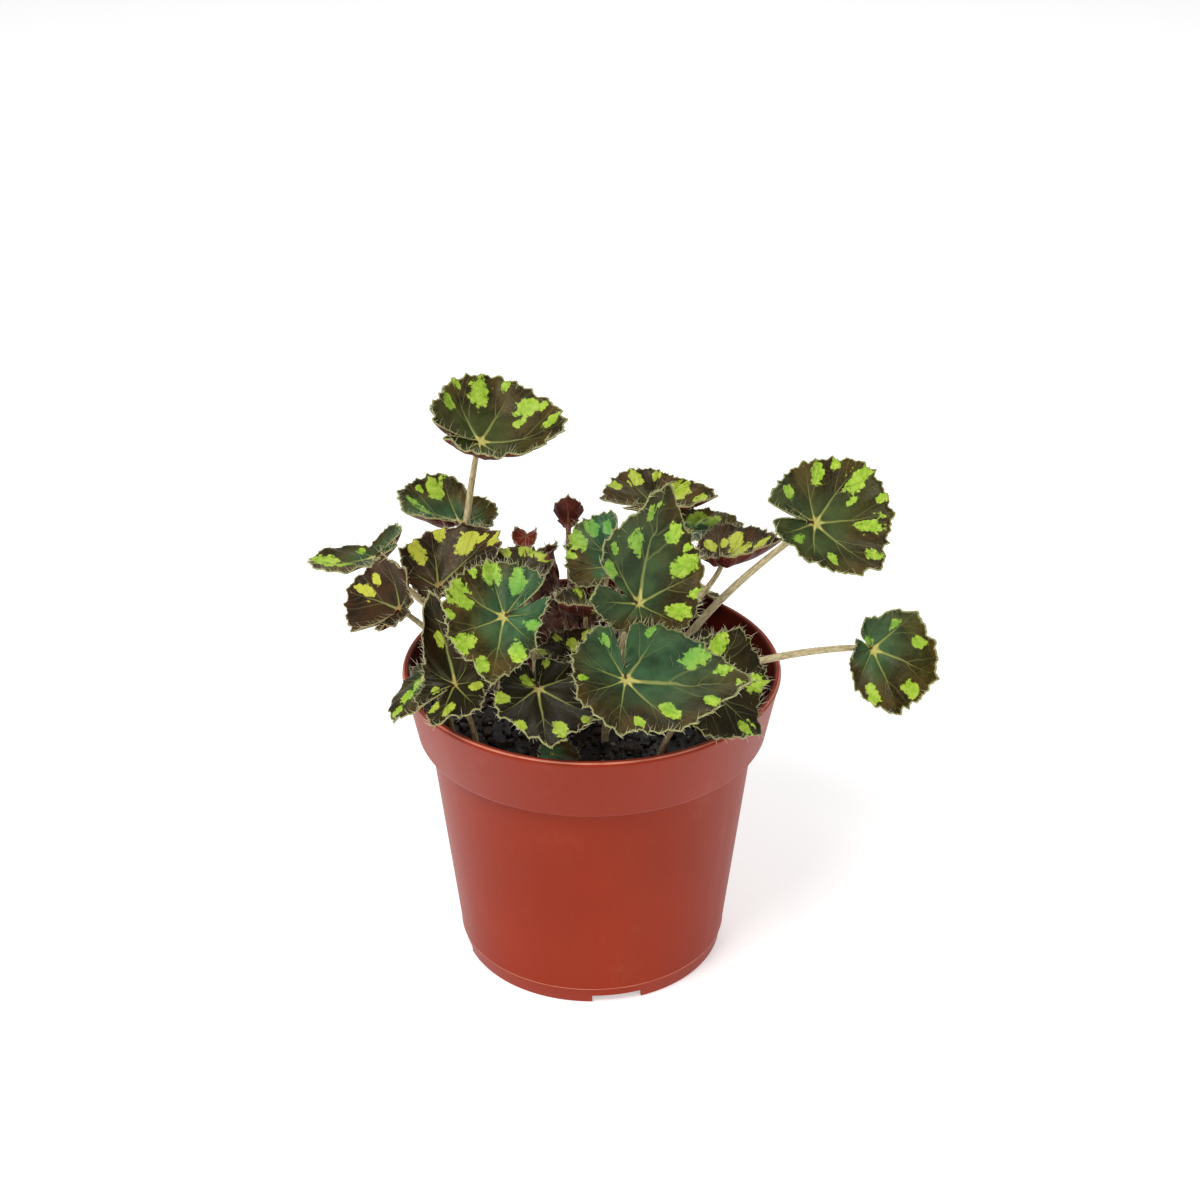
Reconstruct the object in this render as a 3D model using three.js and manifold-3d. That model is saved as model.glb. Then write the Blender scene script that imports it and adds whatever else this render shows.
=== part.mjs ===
// A potted begonia: a small bushy eyelash begonia in a 12 cm plastic nursery pot.
// Millimetres, +Z up. The pot stands on z = 0 and its axis is the Z axis. The plant's front is -Y.

import * as THREE from 'three';
import { mergeVertices } from 'three/addons/utils/BufferGeometryUtils.js';
import Module from 'manifold-3d';

const wasm = await Module();
wasm.setup();

const degree = Math.PI / 180;
const gap = 0.3;                       // air between pieces that touch in the real plant

// The pot
const rimRadius = 60;
const potHeight = 101;
const wall = 1.2;
const lipWidth = 2.4;
const lipHeight = 1.6;                 // the thickened lip's own height
const lipRound = 0.45;
const collarSlope = 3;                 // inside, the wall steps out over this height at the collar's foot
const collarDepth = 22;                // the collar runs this far down from the rim
const collarFootRadius = 55.5;
const bodyTopRadius = 52;
const bodyFootRadius = 43.5;
const ledgeHeight = 5.5;               // a fine ledge runs round the pot just above the foot
const footRadius = 43.1;
const footWidth = 2;
const floorHeight = 3;                 // the floor is raised between the foot ring and the centre pad
const padRadius = 7;
const potSides = 48;
const notchCount = 4;
const notchWidth = 16;
const notchHeight = 2.7;
const firstNotch = -79;                // degrees round from +X
const drainCount = 6;
const drainRadius = 4;
const drainRing = 28;

// The soil
const soilEdge = 86.5;
const soilShoulder = 1.4;              // the soil's edge stands this far out over the collar's step
const soilCrown = 91;
const soilSlope = [[40, 88], [22, 90]];   // radius and height of the mound between its edge and its crown

// The creeping stem: radius, length, tilt, bearing and middle of its stout piece and its two upright tips
const limbs = [
  { radius: 6, length: 44, tilt: 88, bearing: 8, middle: [-4, 4, 91] },
  { radius: 4.5, length: 32, tilt: 12, bearing: 150, middle: [-12, 10, 108] },
  { radius: 5, length: 28, tilt: 10, bearing: 160, middle: [-2, 1, 104] },
];

// The plant
const bladeThickness = 0.8;
const bladeSides = 24;
const smallBlade = 18;                 // a blade with a shorter tip than this has two rings, not three
const cleftWidth = 9;                  // degrees, half the opening of the cleft at the stalk
const cleftDepth = 0.8;
const pointWidth = 12;                 // degrees, half the width of a blade's drawn-out point
const stalkSides = 6;
const stalkSteps = 6;
const stalkRadius = 1.15;
const stalkRise = 0.35;                // shares of a stalk's span that it keeps straight at its two ends
const stalkApproach = 0.15;
const stalkDepth = 2;                  // how far below the soil's edge a stalk starts

// One entry a leaf. at is where the stalk meets the blade. The upper side looks towards the compass
// bearing face (0 is the front, 90 is +X) and lift degrees up. turn swings the tip round from the
// lowest point of the blade. tip, side and back are how far the margin is from the stalk, taper how
// sharply it narrows to the tip, point the length of its drawn-out tip, skew how lopsided it is, and
// cleft the bearing of the notch from the tip. cup, fold, droop and roll are how many degrees the
// margin bends up all round, up at the two sides, down at the tip, and up at one side. foot is where
// the stalk leaves the ground.
const leaves = [
  { name: 'top', at: [-35, 19, 169], face: 33, lift: 66, turn: 65, tip: 29, side: 22, back: 20,
    taper: 4.5, skew: 0.08, cleft: -157, cup: 60, fold: 0, droop: 2, roll: -8, foot: [-44, 20] },
  { name: 'back_left', at: [-43, 36, 133], face: 15, lift: 74, turn: -121, tip: 22, side: 10, back: 14,
    taper: 0.8, skew: 0.04, cleft: 90, cup: 60, fold: 18, droop: 8, roll: 7, foot: [-32, 28] },
  { name: 'far_left', at: [-69, 19, 129], face: -60, lift: 74, turn: -21, tip: 21, side: 8, back: 14,
    taper: 2.9, skew: 0.3, cleft: 154, cup: 45, fold: -6, droop: 22, roll: 9, foot: [-35, 10] },
  { name: 'low_left', at: [-59, -9, 125], face: -54, lift: 41, turn: -80, tip: 22, side: 14, back: 7,
    taper: 2.2, skew: -0.15, cleft: 79, cup: 50, fold: 20, droop: 10, roll: 0, foot: [-36, -5] },
  { name: 'left_dark', at: [-48, 4, 126], face: -34, lift: 50, turn: 158, tip: 25, side: 15, back: 6,
    taper: 4, skew: 0.2, cleft: -70, cup: 45, fold: 30, droop: 18, roll: -6, foot: [-28, 8] },
  { name: 'front_round', at: [-26, -32, 135], face: 12, lift: 50, turn: -20, tip: 22, side: 17, back: 17,
    taper: 4, point: 2, skew: -0.24, cleft: 132, cup: 35, fold: 20, droop: 0, roll: 5, foot: [-18, -14] },
  { name: 'front_left', at: [-41, -36, 114], face: -23, lift: 60, turn: 210, tip: 28, side: 10, back: 17,
    taper: 7, skew: 0, cleft: 128, cup: 45, fold: -15, droop: -20, roll: -10, foot: [-35, -32] },
  { name: 'rim_left', at: [-51, -24, 110], face: -60, lift: 47, turn: 25, tip: 17, side: 7, back: 5,
    taper: 2, skew: -0.2, cleft: 168, cup: 10, fold: -15, droop: 0, roll: 7, foot: [-43, -22] },
  { name: 'front_low', at: [-16, -42, 116], face: 23, lift: 62, turn: -14, tip: 25, side: 16, back: 10,
    taper: 0.9, point: 4, skew: 0.25, cleft: 189, cup: 23, fold: -4, droop: -4, roll: -8, foot: [-12, -26] },
  { name: 'inner_brown', at: [-4, -20, 113], face: -4, lift: 65, turn: -142, tip: 14, side: 12, back: 11,
    taper: 2.7, skew: 0.15, cleft: 57, cup: 10, fold: 25, droop: 0, roll: 2, foot: [-4, -14] },
  { name: 'front_big', at: [10, -44, 120], face: 30, lift: 64, turn: 60, tip: 36, side: 21, back: 17,
    taper: 2.6, point: 5, skew: 0, cleft: 98, cup: 20, fold: -6, droop: -5, roll: 0, foot: [4, -27] },
  { name: 'front_right', at: [34, -37, 113], face: 27, lift: 51, turn: 38, tip: 21, side: 18, back: 12,
    taper: 3.6, point: 3, skew: 0.25, cleft: -151, cup: 12, fold: 4, droop: 25, roll: 0, foot: [20, -40] },
  { name: 'tall', at: [14, -22, 134], face: 30, lift: 22, turn: 158, tip: 36, side: 18.5, back: 9,
    taper: 2.2, point: 7, skew: -0.03, cleft: 68, cup: 21, fold: 8, droop: -8, roll: -8, foot: [8, -13] },
  { name: 'teal', at: [7, 6, 133], face: -60, lift: 51, turn: -98, tip: 20, side: 16, back: 7,
    taper: 4, skew: -0.08, cleft: -54, cup: 40, fold: -4, droop: 0, roll: 3, foot: [5, 16] },
  { name: 'back_cup', at: [20, 30, 142], face: 28, lift: 67, turn: 58, tip: 21, side: 11, back: 17,
    taper: 4.5, skew: 0.13, cleft: -150, cup: 50, fold: 18, droop: -28, roll: -25, foot: [9, 22] },
  { name: 'back_stripe', at: [31, 36, 130], face: 20, lift: 75, turn: 77, tip: 18, side: 10, back: 10,
    taper: 4, skew: -0.1, cleft: -144, cup: 30, fold: 14, droop: 2, roll: -4, foot: [15, 18] },
  { name: 'back_right', at: [41, 14, 129.5], face: -12, lift: 80, turn: 100, tip: 21, side: 15, back: 8,
    taper: 3.6, skew: 0.2, cleft: -100, cup: 55, fold: 0, droop: 0, roll: -40, foot: [21, 12] },
  { name: 'right_high', at: [69, 5, 148], face: 21, lift: 39, turn: 34, tip: 26, side: 22, back: 18,
    taper: 4, point: 2, skew: 0.15, cleft: -141, cup: 40, fold: 3, droop: -11, roll: -17, foot: [20, -7] },
  { name: 'right_far', at: [88, -5, 109], face: -11, lift: 18, turn: 78, tip: 26, side: 14, back: 6,
    taper: 0.8, skew: 0, cleft: 147, cup: 50, fold: -7, droop: -8, roll: 0, foot: [25, -14] },
  { name: 'inner_right', at: [37, -14, 113], face: -5, lift: 65, turn: 211, tip: 9, side: 7, back: 5,
    taper: 3, skew: 0.3, cleft: 62, cup: 10, fold: 10, droop: 4, roll: 0, foot: [31, -3] },
  { name: 'inner_edge', at: [-2, -7.5, 124], face: -5, lift: 78, turn: 0, tip: 14, side: 11, back: 10,
    taper: 2, skew: 0, cleft: 180, cup: 55, fold: 0, droop: -42, roll: 0, foot: [-1, -6] },
  { name: 'inner_spot', at: [-22, 4, 131], face: 8, lift: 74, turn: -137, tip: 11, side: 10, back: 8,
    taper: 2.4, skew: -0.25, cleft: 64, cup: 18, fold: -18, droop: 4, roll: 6, foot: [-17, 2] },
  { name: 'seedling', at: [-12, -45, 95], face: 10, lift: 70, turn: 80, tip: 8, side: 5, back: 4,
    taper: 2, skew: 0, cleft: 180, cup: 10, fold: 10, droop: 0, roll: 0, foot: [-8, -43] },
  { name: 'rear_left', at: [-24, 42, 114], face: -155, lift: 55, turn: -10, tip: 22, side: 17, back: 12,
    taper: 2.4, skew: 0.12, cleft: 165, cup: 25, fold: 8, droop: 10, roll: 0, foot: [-16, 30] },
  { name: 'rear_middle', at: [6, 42, 117], face: 175, lift: 60, turn: 15, tip: 23, side: 17, back: 13,
    taper: 3, skew: -0.12, cleft: -160, cup: 30, fold: 0, droop: 10, roll: 0, foot: [1, 30] },
  { name: 'rear_right', at: [31, 40, 106], face: 130, lift: 66, turn: -25, tip: 13, side: 11, back: 8,
    taper: 2.6, skew: 0.1, cleft: 170, cup: 20, fold: 10, droop: 5, roll: 0, foot: [20, 30] },
];

const youngLeaves = [
  { name: 'young_left', at: [-21, 24, 134], face: -10, lift: 75, turn: 0, tip: 5, side: 5.5,
    back: 3, taper: 2, skew: 0, cleft: 180, cup: 30, fold: 62, droop: 0, roll: 0, foot: [-14, 20] },
  { name: 'young_middle', at: [-7.5, 24, 138], face: 180, lift: 30, turn: 180, tip: 11, side: 4.2,
    back: 3, taper: 2, skew: 0, cleft: 180, cup: 60, fold: 20, droop: 0, roll: 0, foot: [-6, 24] },
];

const plastic = new THREE.MeshStandardMaterial({ color: 0xa8452f, roughness: 0.5, metalness: 0 });
const earth = new THREE.MeshStandardMaterial({ color: 0x17130f, roughness: 1, metalness: 0 });
const bark = new THREE.MeshStandardMaterial({ color: 0x5a3524, roughness: 0.9, metalness: 0 });
const blade = new THREE.MeshStandardMaterial({ color: 0x4a5430, roughness: 0.55, metalness: 0 });
const stem = new THREE.MeshStandardMaterial({ color: 0xb9a57c, roughness: 0.7, metalness: 0 });
const youngRed = new THREE.MeshStandardMaterial({ color: 0x6e1f1c, roughness: 0.6, metalness: 0 });

const begonia = new THREE.Group();

// Turns a closed geometry into a solid that can be joined and cut.
function solid(geometry) {
  geometry.deleteAttribute('normal');
  geometry.deleteAttribute('uv');
  const merged = mergeVertices(geometry, 1e-4);
  const vertProperties = new Float32Array(merged.attributes.position.array);
  const triVerts = new Uint32Array(merged.index.array);
  return new wasm.Manifold(new wasm.Mesh({ numProp: 3, vertProperties, triVerts }));
}

function addMesh(name, body, material) {
  const { numProp, vertProperties, triVerts } = body.getMesh();
  const geometry = new THREE.BufferGeometry();
  const stored = new THREE.InterleavedBuffer(vertProperties, numProp);
  geometry.setAttribute('position', new THREE.InterleavedBufferAttribute(stored, 3, 0));
  geometry.setIndex(new THREE.BufferAttribute(triVerts, 1));
  const mesh = new THREE.Mesh(geometry, material);
  mesh.name = name;
  begonia.add(mesh);
}

// Turns a profile of [radius, height] points about the Z axis.
function turned(profile) {
  const points = profile.map(([radius, height]) => new THREE.Vector2(radius, height));
  return new THREE.LatheGeometry(points, potSides).rotateX(90 * degree);
}

function innerRadius(height) {
  const rise = (height - ledgeHeight) / (potHeight - collarDepth - ledgeHeight);
  return bodyFootRadius + (bodyTopRadius - bodyFootRadius) * rise - wall;
}

function makePot() {
  const collarFoot = potHeight - collarDepth;
  const floorTop = floorHeight + wall;
  const outside = [
    [0, 0], [padRadius, 0], [padRadius, floorHeight], [footRadius - footWidth, floorHeight],
    [footRadius - footWidth, 0], [footRadius, 0], [footRadius, ledgeHeight],
    [bodyFootRadius, ledgeHeight], [bodyTopRadius, collarFoot], [collarFootRadius, collarFoot],
    [rimRadius - lipRound, potHeight - lipHeight], [rimRadius, potHeight - 2 * lipRound],
    [rimRadius - lipRound, potHeight],
  ];
  const inside = [
    [rimRadius - lipWidth, potHeight], [rimRadius - lipWidth, potHeight - lipHeight],
    [collarFootRadius - wall, collarFoot + collarSlope], [innerRadius(collarFoot), collarFoot],
    [innerRadius(floorTop), floorTop], [0, floorTop],
  ];
  let pot = solid(turned([...outside, ...inside]));
  for (let i = 0; i < notchCount; i++) {
    const notch = new THREE.BoxGeometry(4 * footWidth, notchWidth, 2 * notchHeight);
    notch.translate(footRadius, 0, 0).rotateZ((firstNotch + i * 360 / notchCount) * degree);
    pot = pot.subtract(solid(notch));
  }
  for (let i = 0; i < drainCount; i++) {
    const drain = new THREE.CylinderGeometry(drainRadius, drainRadius, 4 * floorHeight, 16);
    drain.rotateX(90 * degree).translate(drainRing, 0, floorHeight);
    pot = pot.subtract(solid(drain.rotateZ(i * 360 / drainCount * degree)));
  }
  return pot;
}

// The soil fills the pot inside its wall. With a lift of gap it is the space that stems keep clear of.
function makeSoil(lift) {
  const floorTop = floorHeight + wall + gap;
  const foot = innerRadius(floorTop) - gap;
  const step = potHeight - collarDepth;
  const edge = innerRadius(step) - gap;
  const shoulder = edge + soilShoulder;
  const mound = soilSlope.map(([radius, height]) => [radius, height + lift]);
  return solid(turned([
    [0, floorTop], [foot, floorTop], [edge, step], [shoulder, soilEdge - 1 + lift],
    [shoulder - 1, soilEdge + lift], ...mound, [0, soilCrown + lift],
  ]));
}

// The creeping stem lies half sunk, and the young leaves grow from its upright tips.
function makeRhizome(extra) {
  const bodies = limbs.map(({ radius, length, tilt, bearing, middle }) => {
    const capsule = new THREE.CapsuleGeometry(radius + extra, length, 3, 10);
    capsule.rotateX(90 * degree).rotateY(tilt * degree).rotateZ(bearing * degree);
    return solid(capsule.translate(...middle));
  });
  return wasm.Manifold.union(bodies);
}

// The unit vectors of a blade: out of its upper side, and along it to the tip and sideways.
function bladeAxes({ face, lift, turn }) {
  const ahead = new THREE.Vector3(Math.sin(face * degree), -Math.cos(face * degree), 0);
  const up = new THREE.Vector3(0, 0, 1);
  const out = ahead.clone().multiplyScalar(Math.cos(lift * degree));
  out.addScaledVector(up, Math.sin(lift * degree));
  const toTip = ahead.clone().multiplyScalar(Math.sin(lift * degree));
  toTip.addScaledVector(up, -Math.cos(lift * degree)).applyAxisAngle(out, turn * degree);
  return { out, toTip, across: out.clone().cross(toTip) };
}

// How far the margin is from the stalk, in the direction that is angle round from the tip.
function marginRadius(leaf, angle) {
  const side = leaf.side * (1 + leaf.skew * Math.sin(angle));
  const ahead = Math.cos(angle);
  const point = leaf.point ?? 0;
  const front = leaf.tip - point - side;
  const length = ahead > 0 ? front * ahead ** leaf.taper : (side - leaf.back) * ahead;
  const drawnOut = point * Math.exp(-((angle / degree / pointWidth) ** 2));
  const fromCleft = (angle - leaf.cleft * degree) / 2;
  const turns = 2 * Math.atan2(Math.sin(fromCleft), Math.cos(fromCleft)) * Math.sign(Math.cos(fromCleft));
  const notch = cleftDepth * Math.exp(-((turns / degree / cleftWidth) ** 2));
  return (side + length + drawnOut) * (1 - notch);
}

function marginBend({ cup, fold, droop, roll }, angle) {
  return cup - fold * Math.cos(2 * angle) - droop * Math.cos(angle) + roll * Math.sin(angle);
}

// A blade starts as a thin turned disc of radius 1 and is shaped point by point.
function makeBlade(leaf) {
  const bladeRings = leaf.tip < smallBlade ? 2 : 3;
  const profile = [];
  for (let i = 0; i <= bladeRings; i++) profile.push(new THREE.Vector2(i / bladeRings, -1));
  for (let i = bladeRings; i >= 0; i--) profile.push(new THREE.Vector2(i / bladeRings, 1));
  const geometry = new THREE.LatheGeometry(profile, bladeSides, leaf.cleft * degree);
  const { out, toTip, across } = bladeAxes(leaf);
  const points = geometry.attributes.position;
  const point = new THREE.Vector3();
  for (let i = 0; i < points.count; i++) {
    point.fromBufferAttribute(points, i);
    const angle = Math.atan2(point.x, point.z);
    const reach = Math.hypot(point.x, point.z);
    const slope = marginBend(leaf, angle) * degree * reach + 1e-6;
    const length = marginRadius(leaf, angle) * reach;
    const offset = point.y * bladeThickness / 2;
    const along = length * Math.sin(slope) / slope - offset * Math.sin(slope);
    const height = length * (1 - Math.cos(slope)) / slope + offset * Math.cos(slope);
    point.set(...leaf.at).addScaledVector(out, height);
    point.addScaledVector(toTip, along * Math.cos(angle)).addScaledVector(across, along * Math.sin(angle));
    points.setXYZ(i, point.x, point.y, point.z);
  }
  return solid(geometry);
}

// A stalk leaves the ground upright and comes up to the blade square to its lower side.
function makeStalk(leaf) {
  const { out } = bladeAxes(leaf);
  const start = new THREE.Vector3(...leaf.foot, soilEdge - stalkDepth);
  const end = new THREE.Vector3(...leaf.at).addScaledVector(out, -bladeThickness / 2 - gap);
  const span = start.distanceTo(end);
  const rise = start.clone().add(new THREE.Vector3(0, 0, stalkRise * span));
  const approach = end.clone().addScaledVector(out, -stalkApproach * span);
  const path = new THREE.CubicBezierCurve3(start, rise, approach, end);
  const section = new THREE.Shape().absarc(0, 0, stalkRadius, 0, 2 * Math.PI);
  const options = { steps: stalkSteps, curveSegments: stalkSides / 2, extrudePath: path };
  return solid(new THREE.ExtrudeGeometry(section, options));
}

const soilSpace = makeSoil(gap);
const rhizomeSpace = makeRhizome(gap);

addMesh('pot', makePot(), plastic);
addMesh('soil', makeSoil(0), earth);
addMesh('rhizome', makeRhizome(0).subtract(soilSpace), bark);
for (const leaf of leaves) {
  addMesh(`leaf_${leaf.name}`, makeBlade(leaf), blade);
  addMesh(`stalk_${leaf.name}`, makeStalk(leaf).subtract(soilSpace).subtract(rhizomeSpace), stem);
}
for (const leaf of youngLeaves) {
  addMesh(`leaf_${leaf.name}`, makeBlade(leaf), youngRed);
  addMesh(`stalk_${leaf.name}`, makeStalk(leaf).subtract(soilSpace).subtract(rhizomeSpace), youngRed);
}

export default begonia;
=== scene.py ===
import bpy
import math
import numpy as np
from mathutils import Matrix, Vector, noise


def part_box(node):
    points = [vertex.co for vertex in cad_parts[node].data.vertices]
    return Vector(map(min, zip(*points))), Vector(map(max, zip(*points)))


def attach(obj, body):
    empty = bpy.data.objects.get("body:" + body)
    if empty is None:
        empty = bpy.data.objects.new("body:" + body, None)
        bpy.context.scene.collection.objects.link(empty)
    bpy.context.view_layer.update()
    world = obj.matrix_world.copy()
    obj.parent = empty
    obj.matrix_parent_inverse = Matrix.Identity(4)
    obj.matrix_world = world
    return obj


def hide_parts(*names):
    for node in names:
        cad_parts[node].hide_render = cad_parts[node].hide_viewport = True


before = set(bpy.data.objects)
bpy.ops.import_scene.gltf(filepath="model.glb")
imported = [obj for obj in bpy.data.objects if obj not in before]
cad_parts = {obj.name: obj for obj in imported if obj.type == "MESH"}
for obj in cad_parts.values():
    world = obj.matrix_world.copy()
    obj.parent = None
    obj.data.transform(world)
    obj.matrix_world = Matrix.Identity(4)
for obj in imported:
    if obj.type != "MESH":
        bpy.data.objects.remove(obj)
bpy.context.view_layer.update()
bpy.ops.object.select_all(action="DESELECT")

mm = 0.001
degree = math.pi / 180
veinCount = 7
veinGap = 360 / veinCount  # degrees between two main veins


class Wire:
    # a value in a shader; + - * / on it add the Math nodes
    def __init__(self, paint, socket):
        self.paint = paint
        self.socket = socket

    def math(self, operation, *others):
        return self.paint.node("ShaderNodeMath", {"operation": operation}, [self, *others])

    def __add__(self, other):
        return self.math("ADD", other)

    def __radd__(self, other):
        return self.math("ADD", other)

    def __sub__(self, other):
        return self.math("SUBTRACT", other)

    def __rsub__(self, other):
        return self.paint.node("ShaderNodeMath", {"operation": "SUBTRACT"}, [other, self])

    def __mul__(self, other):
        return self.math("MULTIPLY", other)

    def __rmul__(self, other):
        return self.math("MULTIPLY", other)

    def __truediv__(self, other):
        return self.math("DIVIDE", other)

    def __abs__(self):
        return self.math("ABSOLUTE")

    def most(self, other):
        return self.math("MAXIMUM", other)

    def step(self, low, high, start=0.0, end=1.0):
        # eases from start to end while the value goes from low to high
        settings = {"interpolation_type": "SMOOTHSTEP"}
        return self.paint.node("ShaderNodeMapRange", settings, [self, low, high, start, end])


class Paint:
    # one material and its Principled shader
    def __init__(self, name, roughness=0.5, **constants):
        self.material = bpy.data.materials.new(name)
        self.material.use_nodes = True
        self.tree = self.material.node_tree
        self.shader = self.tree.nodes["Principled BSDF"]
        self.shader.inputs["Roughness"].default_value = roughness
        for socketName, value in constants.items():
            self.shader.inputs[socketName.replace("_", " ")].default_value = value

    def node(self, kind, settings=None, inputs=(), output=0):
        made = self.tree.nodes.new(kind)
        for key, value in (settings or {}).items():
            setattr(made, key, value)
        pairs = inputs.items() if isinstance(inputs, dict) else enumerate(inputs)
        for key, value in pairs:
            if isinstance(value, Wire):
                self.tree.links.new(value.socket, made.inputs[key])
            else:
                made.inputs[key].default_value = value
        return Wire(self, made.outputs[output])

    def mix(self, factor, first, second):
        # blends two colours
        inputs = {0: factor, 6: self.colour(first), 7: self.colour(second)}
        return self.node("ShaderNodeMix", {"data_type": "RGBA"}, inputs, 2)

    def colour(self, value):
        return value if isinstance(value, Wire) else (*value, 1.0)

    def place(self):
        return self.node("ShaderNodeTexCoord", output="Object")

    def attribute(self, name, output="Fac"):
        return self.node("ShaderNodeAttribute", {"attribute_name": name}, output=output)

    def grain(self, where, scale, detail=3.0, rough=0.55):
        inputs = {"Vector": where, "Scale": scale, "Detail": detail, "Roughness": rough}
        return self.node("ShaderNodeTexNoise", inputs=inputs)

    def cells(self, where, scale, feature="F1"):
        inputs = {"Vector": where, "Scale": scale}
        return self.node("ShaderNodeTexVoronoi", {"feature": feature}, inputs, "Distance")

    def split(self, wire, kind):
        # the three parts of a vector or a colour
        made = self.node(kind, inputs=[wire]).socket.node
        return [Wire(self, made.outputs[i]) for i in range(3)]

    def stretch(self, where, *scale):
        return self.node("ShaderNodeMapping", inputs={"Vector": where, "Scale": scale})

    def feed(self, **wires):
        for socketName, wire in wires.items():
            socket = self.shader.inputs[socketName.replace("_", " ")]
            if isinstance(wire, Wire):
                self.tree.links.new(wire.socket, socket)
            else:
                socket.default_value = wire

    def bump(self, height, strength, distance):
        inputs = {"Strength": strength, "Distance": distance, "Height": height}
        self.feed(Normal=self.node("ShaderNodeBump", inputs=inputs))


def tint(red, green, blue):
    # a colour as seen on screen, 0 to 255, turned into the shader's own scale
    def linear(value):
        value = value / 255
        return value / 12.92 if value <= 0.04045 else ((value + 0.055) / 1.055) ** 2.4

    return tuple(linear(v) for v in (red, green, blue))


def useOnly(piece):
    bpy.ops.object.select_all(action="DESELECT")
    piece.select_set(True)
    bpy.context.view_layer.objects.active = piece


def added(name):
    # names the primitive that was just added
    piece = bpy.context.object
    piece.name = name
    piece.data.name = name
    return piece


def applyModifier(piece, kind, **settings):
    useOnly(piece)
    modifier = piece.modifiers.new(kind.title(), kind)
    for key, value in settings.items():
        setattr(modifier, key, value)
    bpy.ops.object.modifier_apply(modifier=modifier.name)


def outwardNormals(piece):
    useOnly(piece)
    bpy.ops.object.mode_set(mode="EDIT")
    bpy.ops.mesh.select_all(action="SELECT")
    bpy.ops.mesh.remove_doubles(threshold=1e-6)
    bpy.ops.mesh.normals_make_consistent(inside=False)
    bpy.ops.object.mode_set(mode="OBJECT")


def points(mesh):
    co = np.zeros(len(mesh.vertices) * 3)
    mesh.vertices.foreach_get("co", co)
    return co.reshape(-1, 3)


def movePoints(mesh, co):
    mesh.vertices.foreach_set("co", np.ascontiguousarray(co).ravel())
    mesh.update()


def smooth(piece, angle=None):
    useOnly(piece)
    if angle is None:
        bpy.ops.object.shade_smooth()
    else:
        bpy.ops.object.shade_smooth_by_angle(angle=angle * degree)


def finishPiece(piece, slotName, *nodes):
    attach(piece, "root")
    if nodes:
        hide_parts(*nodes)


def makeDisc(name, columns, rings):
    # a flat disc of radius 1, ring by ring from a small fan
    bpy.ops.object.select_all(action="DESELECT")
    bpy.ops.mesh.primitive_circle_add(vertices=columns, radius=1 / rings, fill_type="TRIFAN")
    disc = added(name)
    bpy.ops.object.mode_set(mode="EDIT")
    bpy.ops.mesh.select_mode(type="EDGE")
    bpy.ops.mesh.select_all(action="SELECT")
    bpy.ops.mesh.region_to_loop()
    for ring in range(1, rings):
        bpy.ops.mesh.extrude_edges_move()
        grow = (ring + 1) / ring
        bpy.ops.transform.resize(value=(grow, grow, 1), center_override=(0, 0, 0))
    bpy.ops.mesh.select_mode(type="VERT")
    bpy.ops.object.mode_set(mode="OBJECT")
    return disc


def makeRod(name, sides, steps):
    # a straight rod of radius 1 along Z from 0 to 1, with steps along it and both ends closed
    bpy.ops.object.select_all(action="DESELECT")
    bpy.ops.mesh.primitive_circle_add(vertices=sides, radius=1, fill_type="NGON")
    rod = added(name)
    bpy.ops.object.mode_set(mode="EDIT")
    bpy.ops.mesh.select_mode(type="FACE")
    bpy.ops.mesh.select_all(action="SELECT")
    for _ in range(steps):
        move = {"value": (0, 0, 1 / steps)}
        bpy.ops.mesh.extrude_region_move(TRANSFORM_OT_translate=move)
    bpy.ops.object.mode_set(mode="OBJECT")
    outwardNormals(rod)
    return rod


def copyAs(model, name):
    piece = model.copy()
    piece.data = model.data.copy()
    piece.name = name
    piece.data.name = name
    bpy.context.scene.collection.objects.link(piece)
    return piece


def scatter(name, model, places, material):
    # one mesh of many copies of a small model; places gives each copy's points
    base = model.data
    count = len(places)
    size = len(base.vertices)
    faces = [tuple(face.vertices) for face in base.polygons]
    allFaces = [tuple(v + i * size for v in face) for i in range(count) for face in faces]
    mesh = bpy.data.meshes.new(name)
    mesh.from_pydata(np.concatenate(places).tolist(), [], allFaces)
    mesh.materials.append(material)
    piece = bpy.data.objects.new(name, mesh)
    bpy.context.scene.collection.objects.link(piece)
    return piece


def unit(v):
    return v / (np.linalg.norm(v) + 1e-12)

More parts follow.
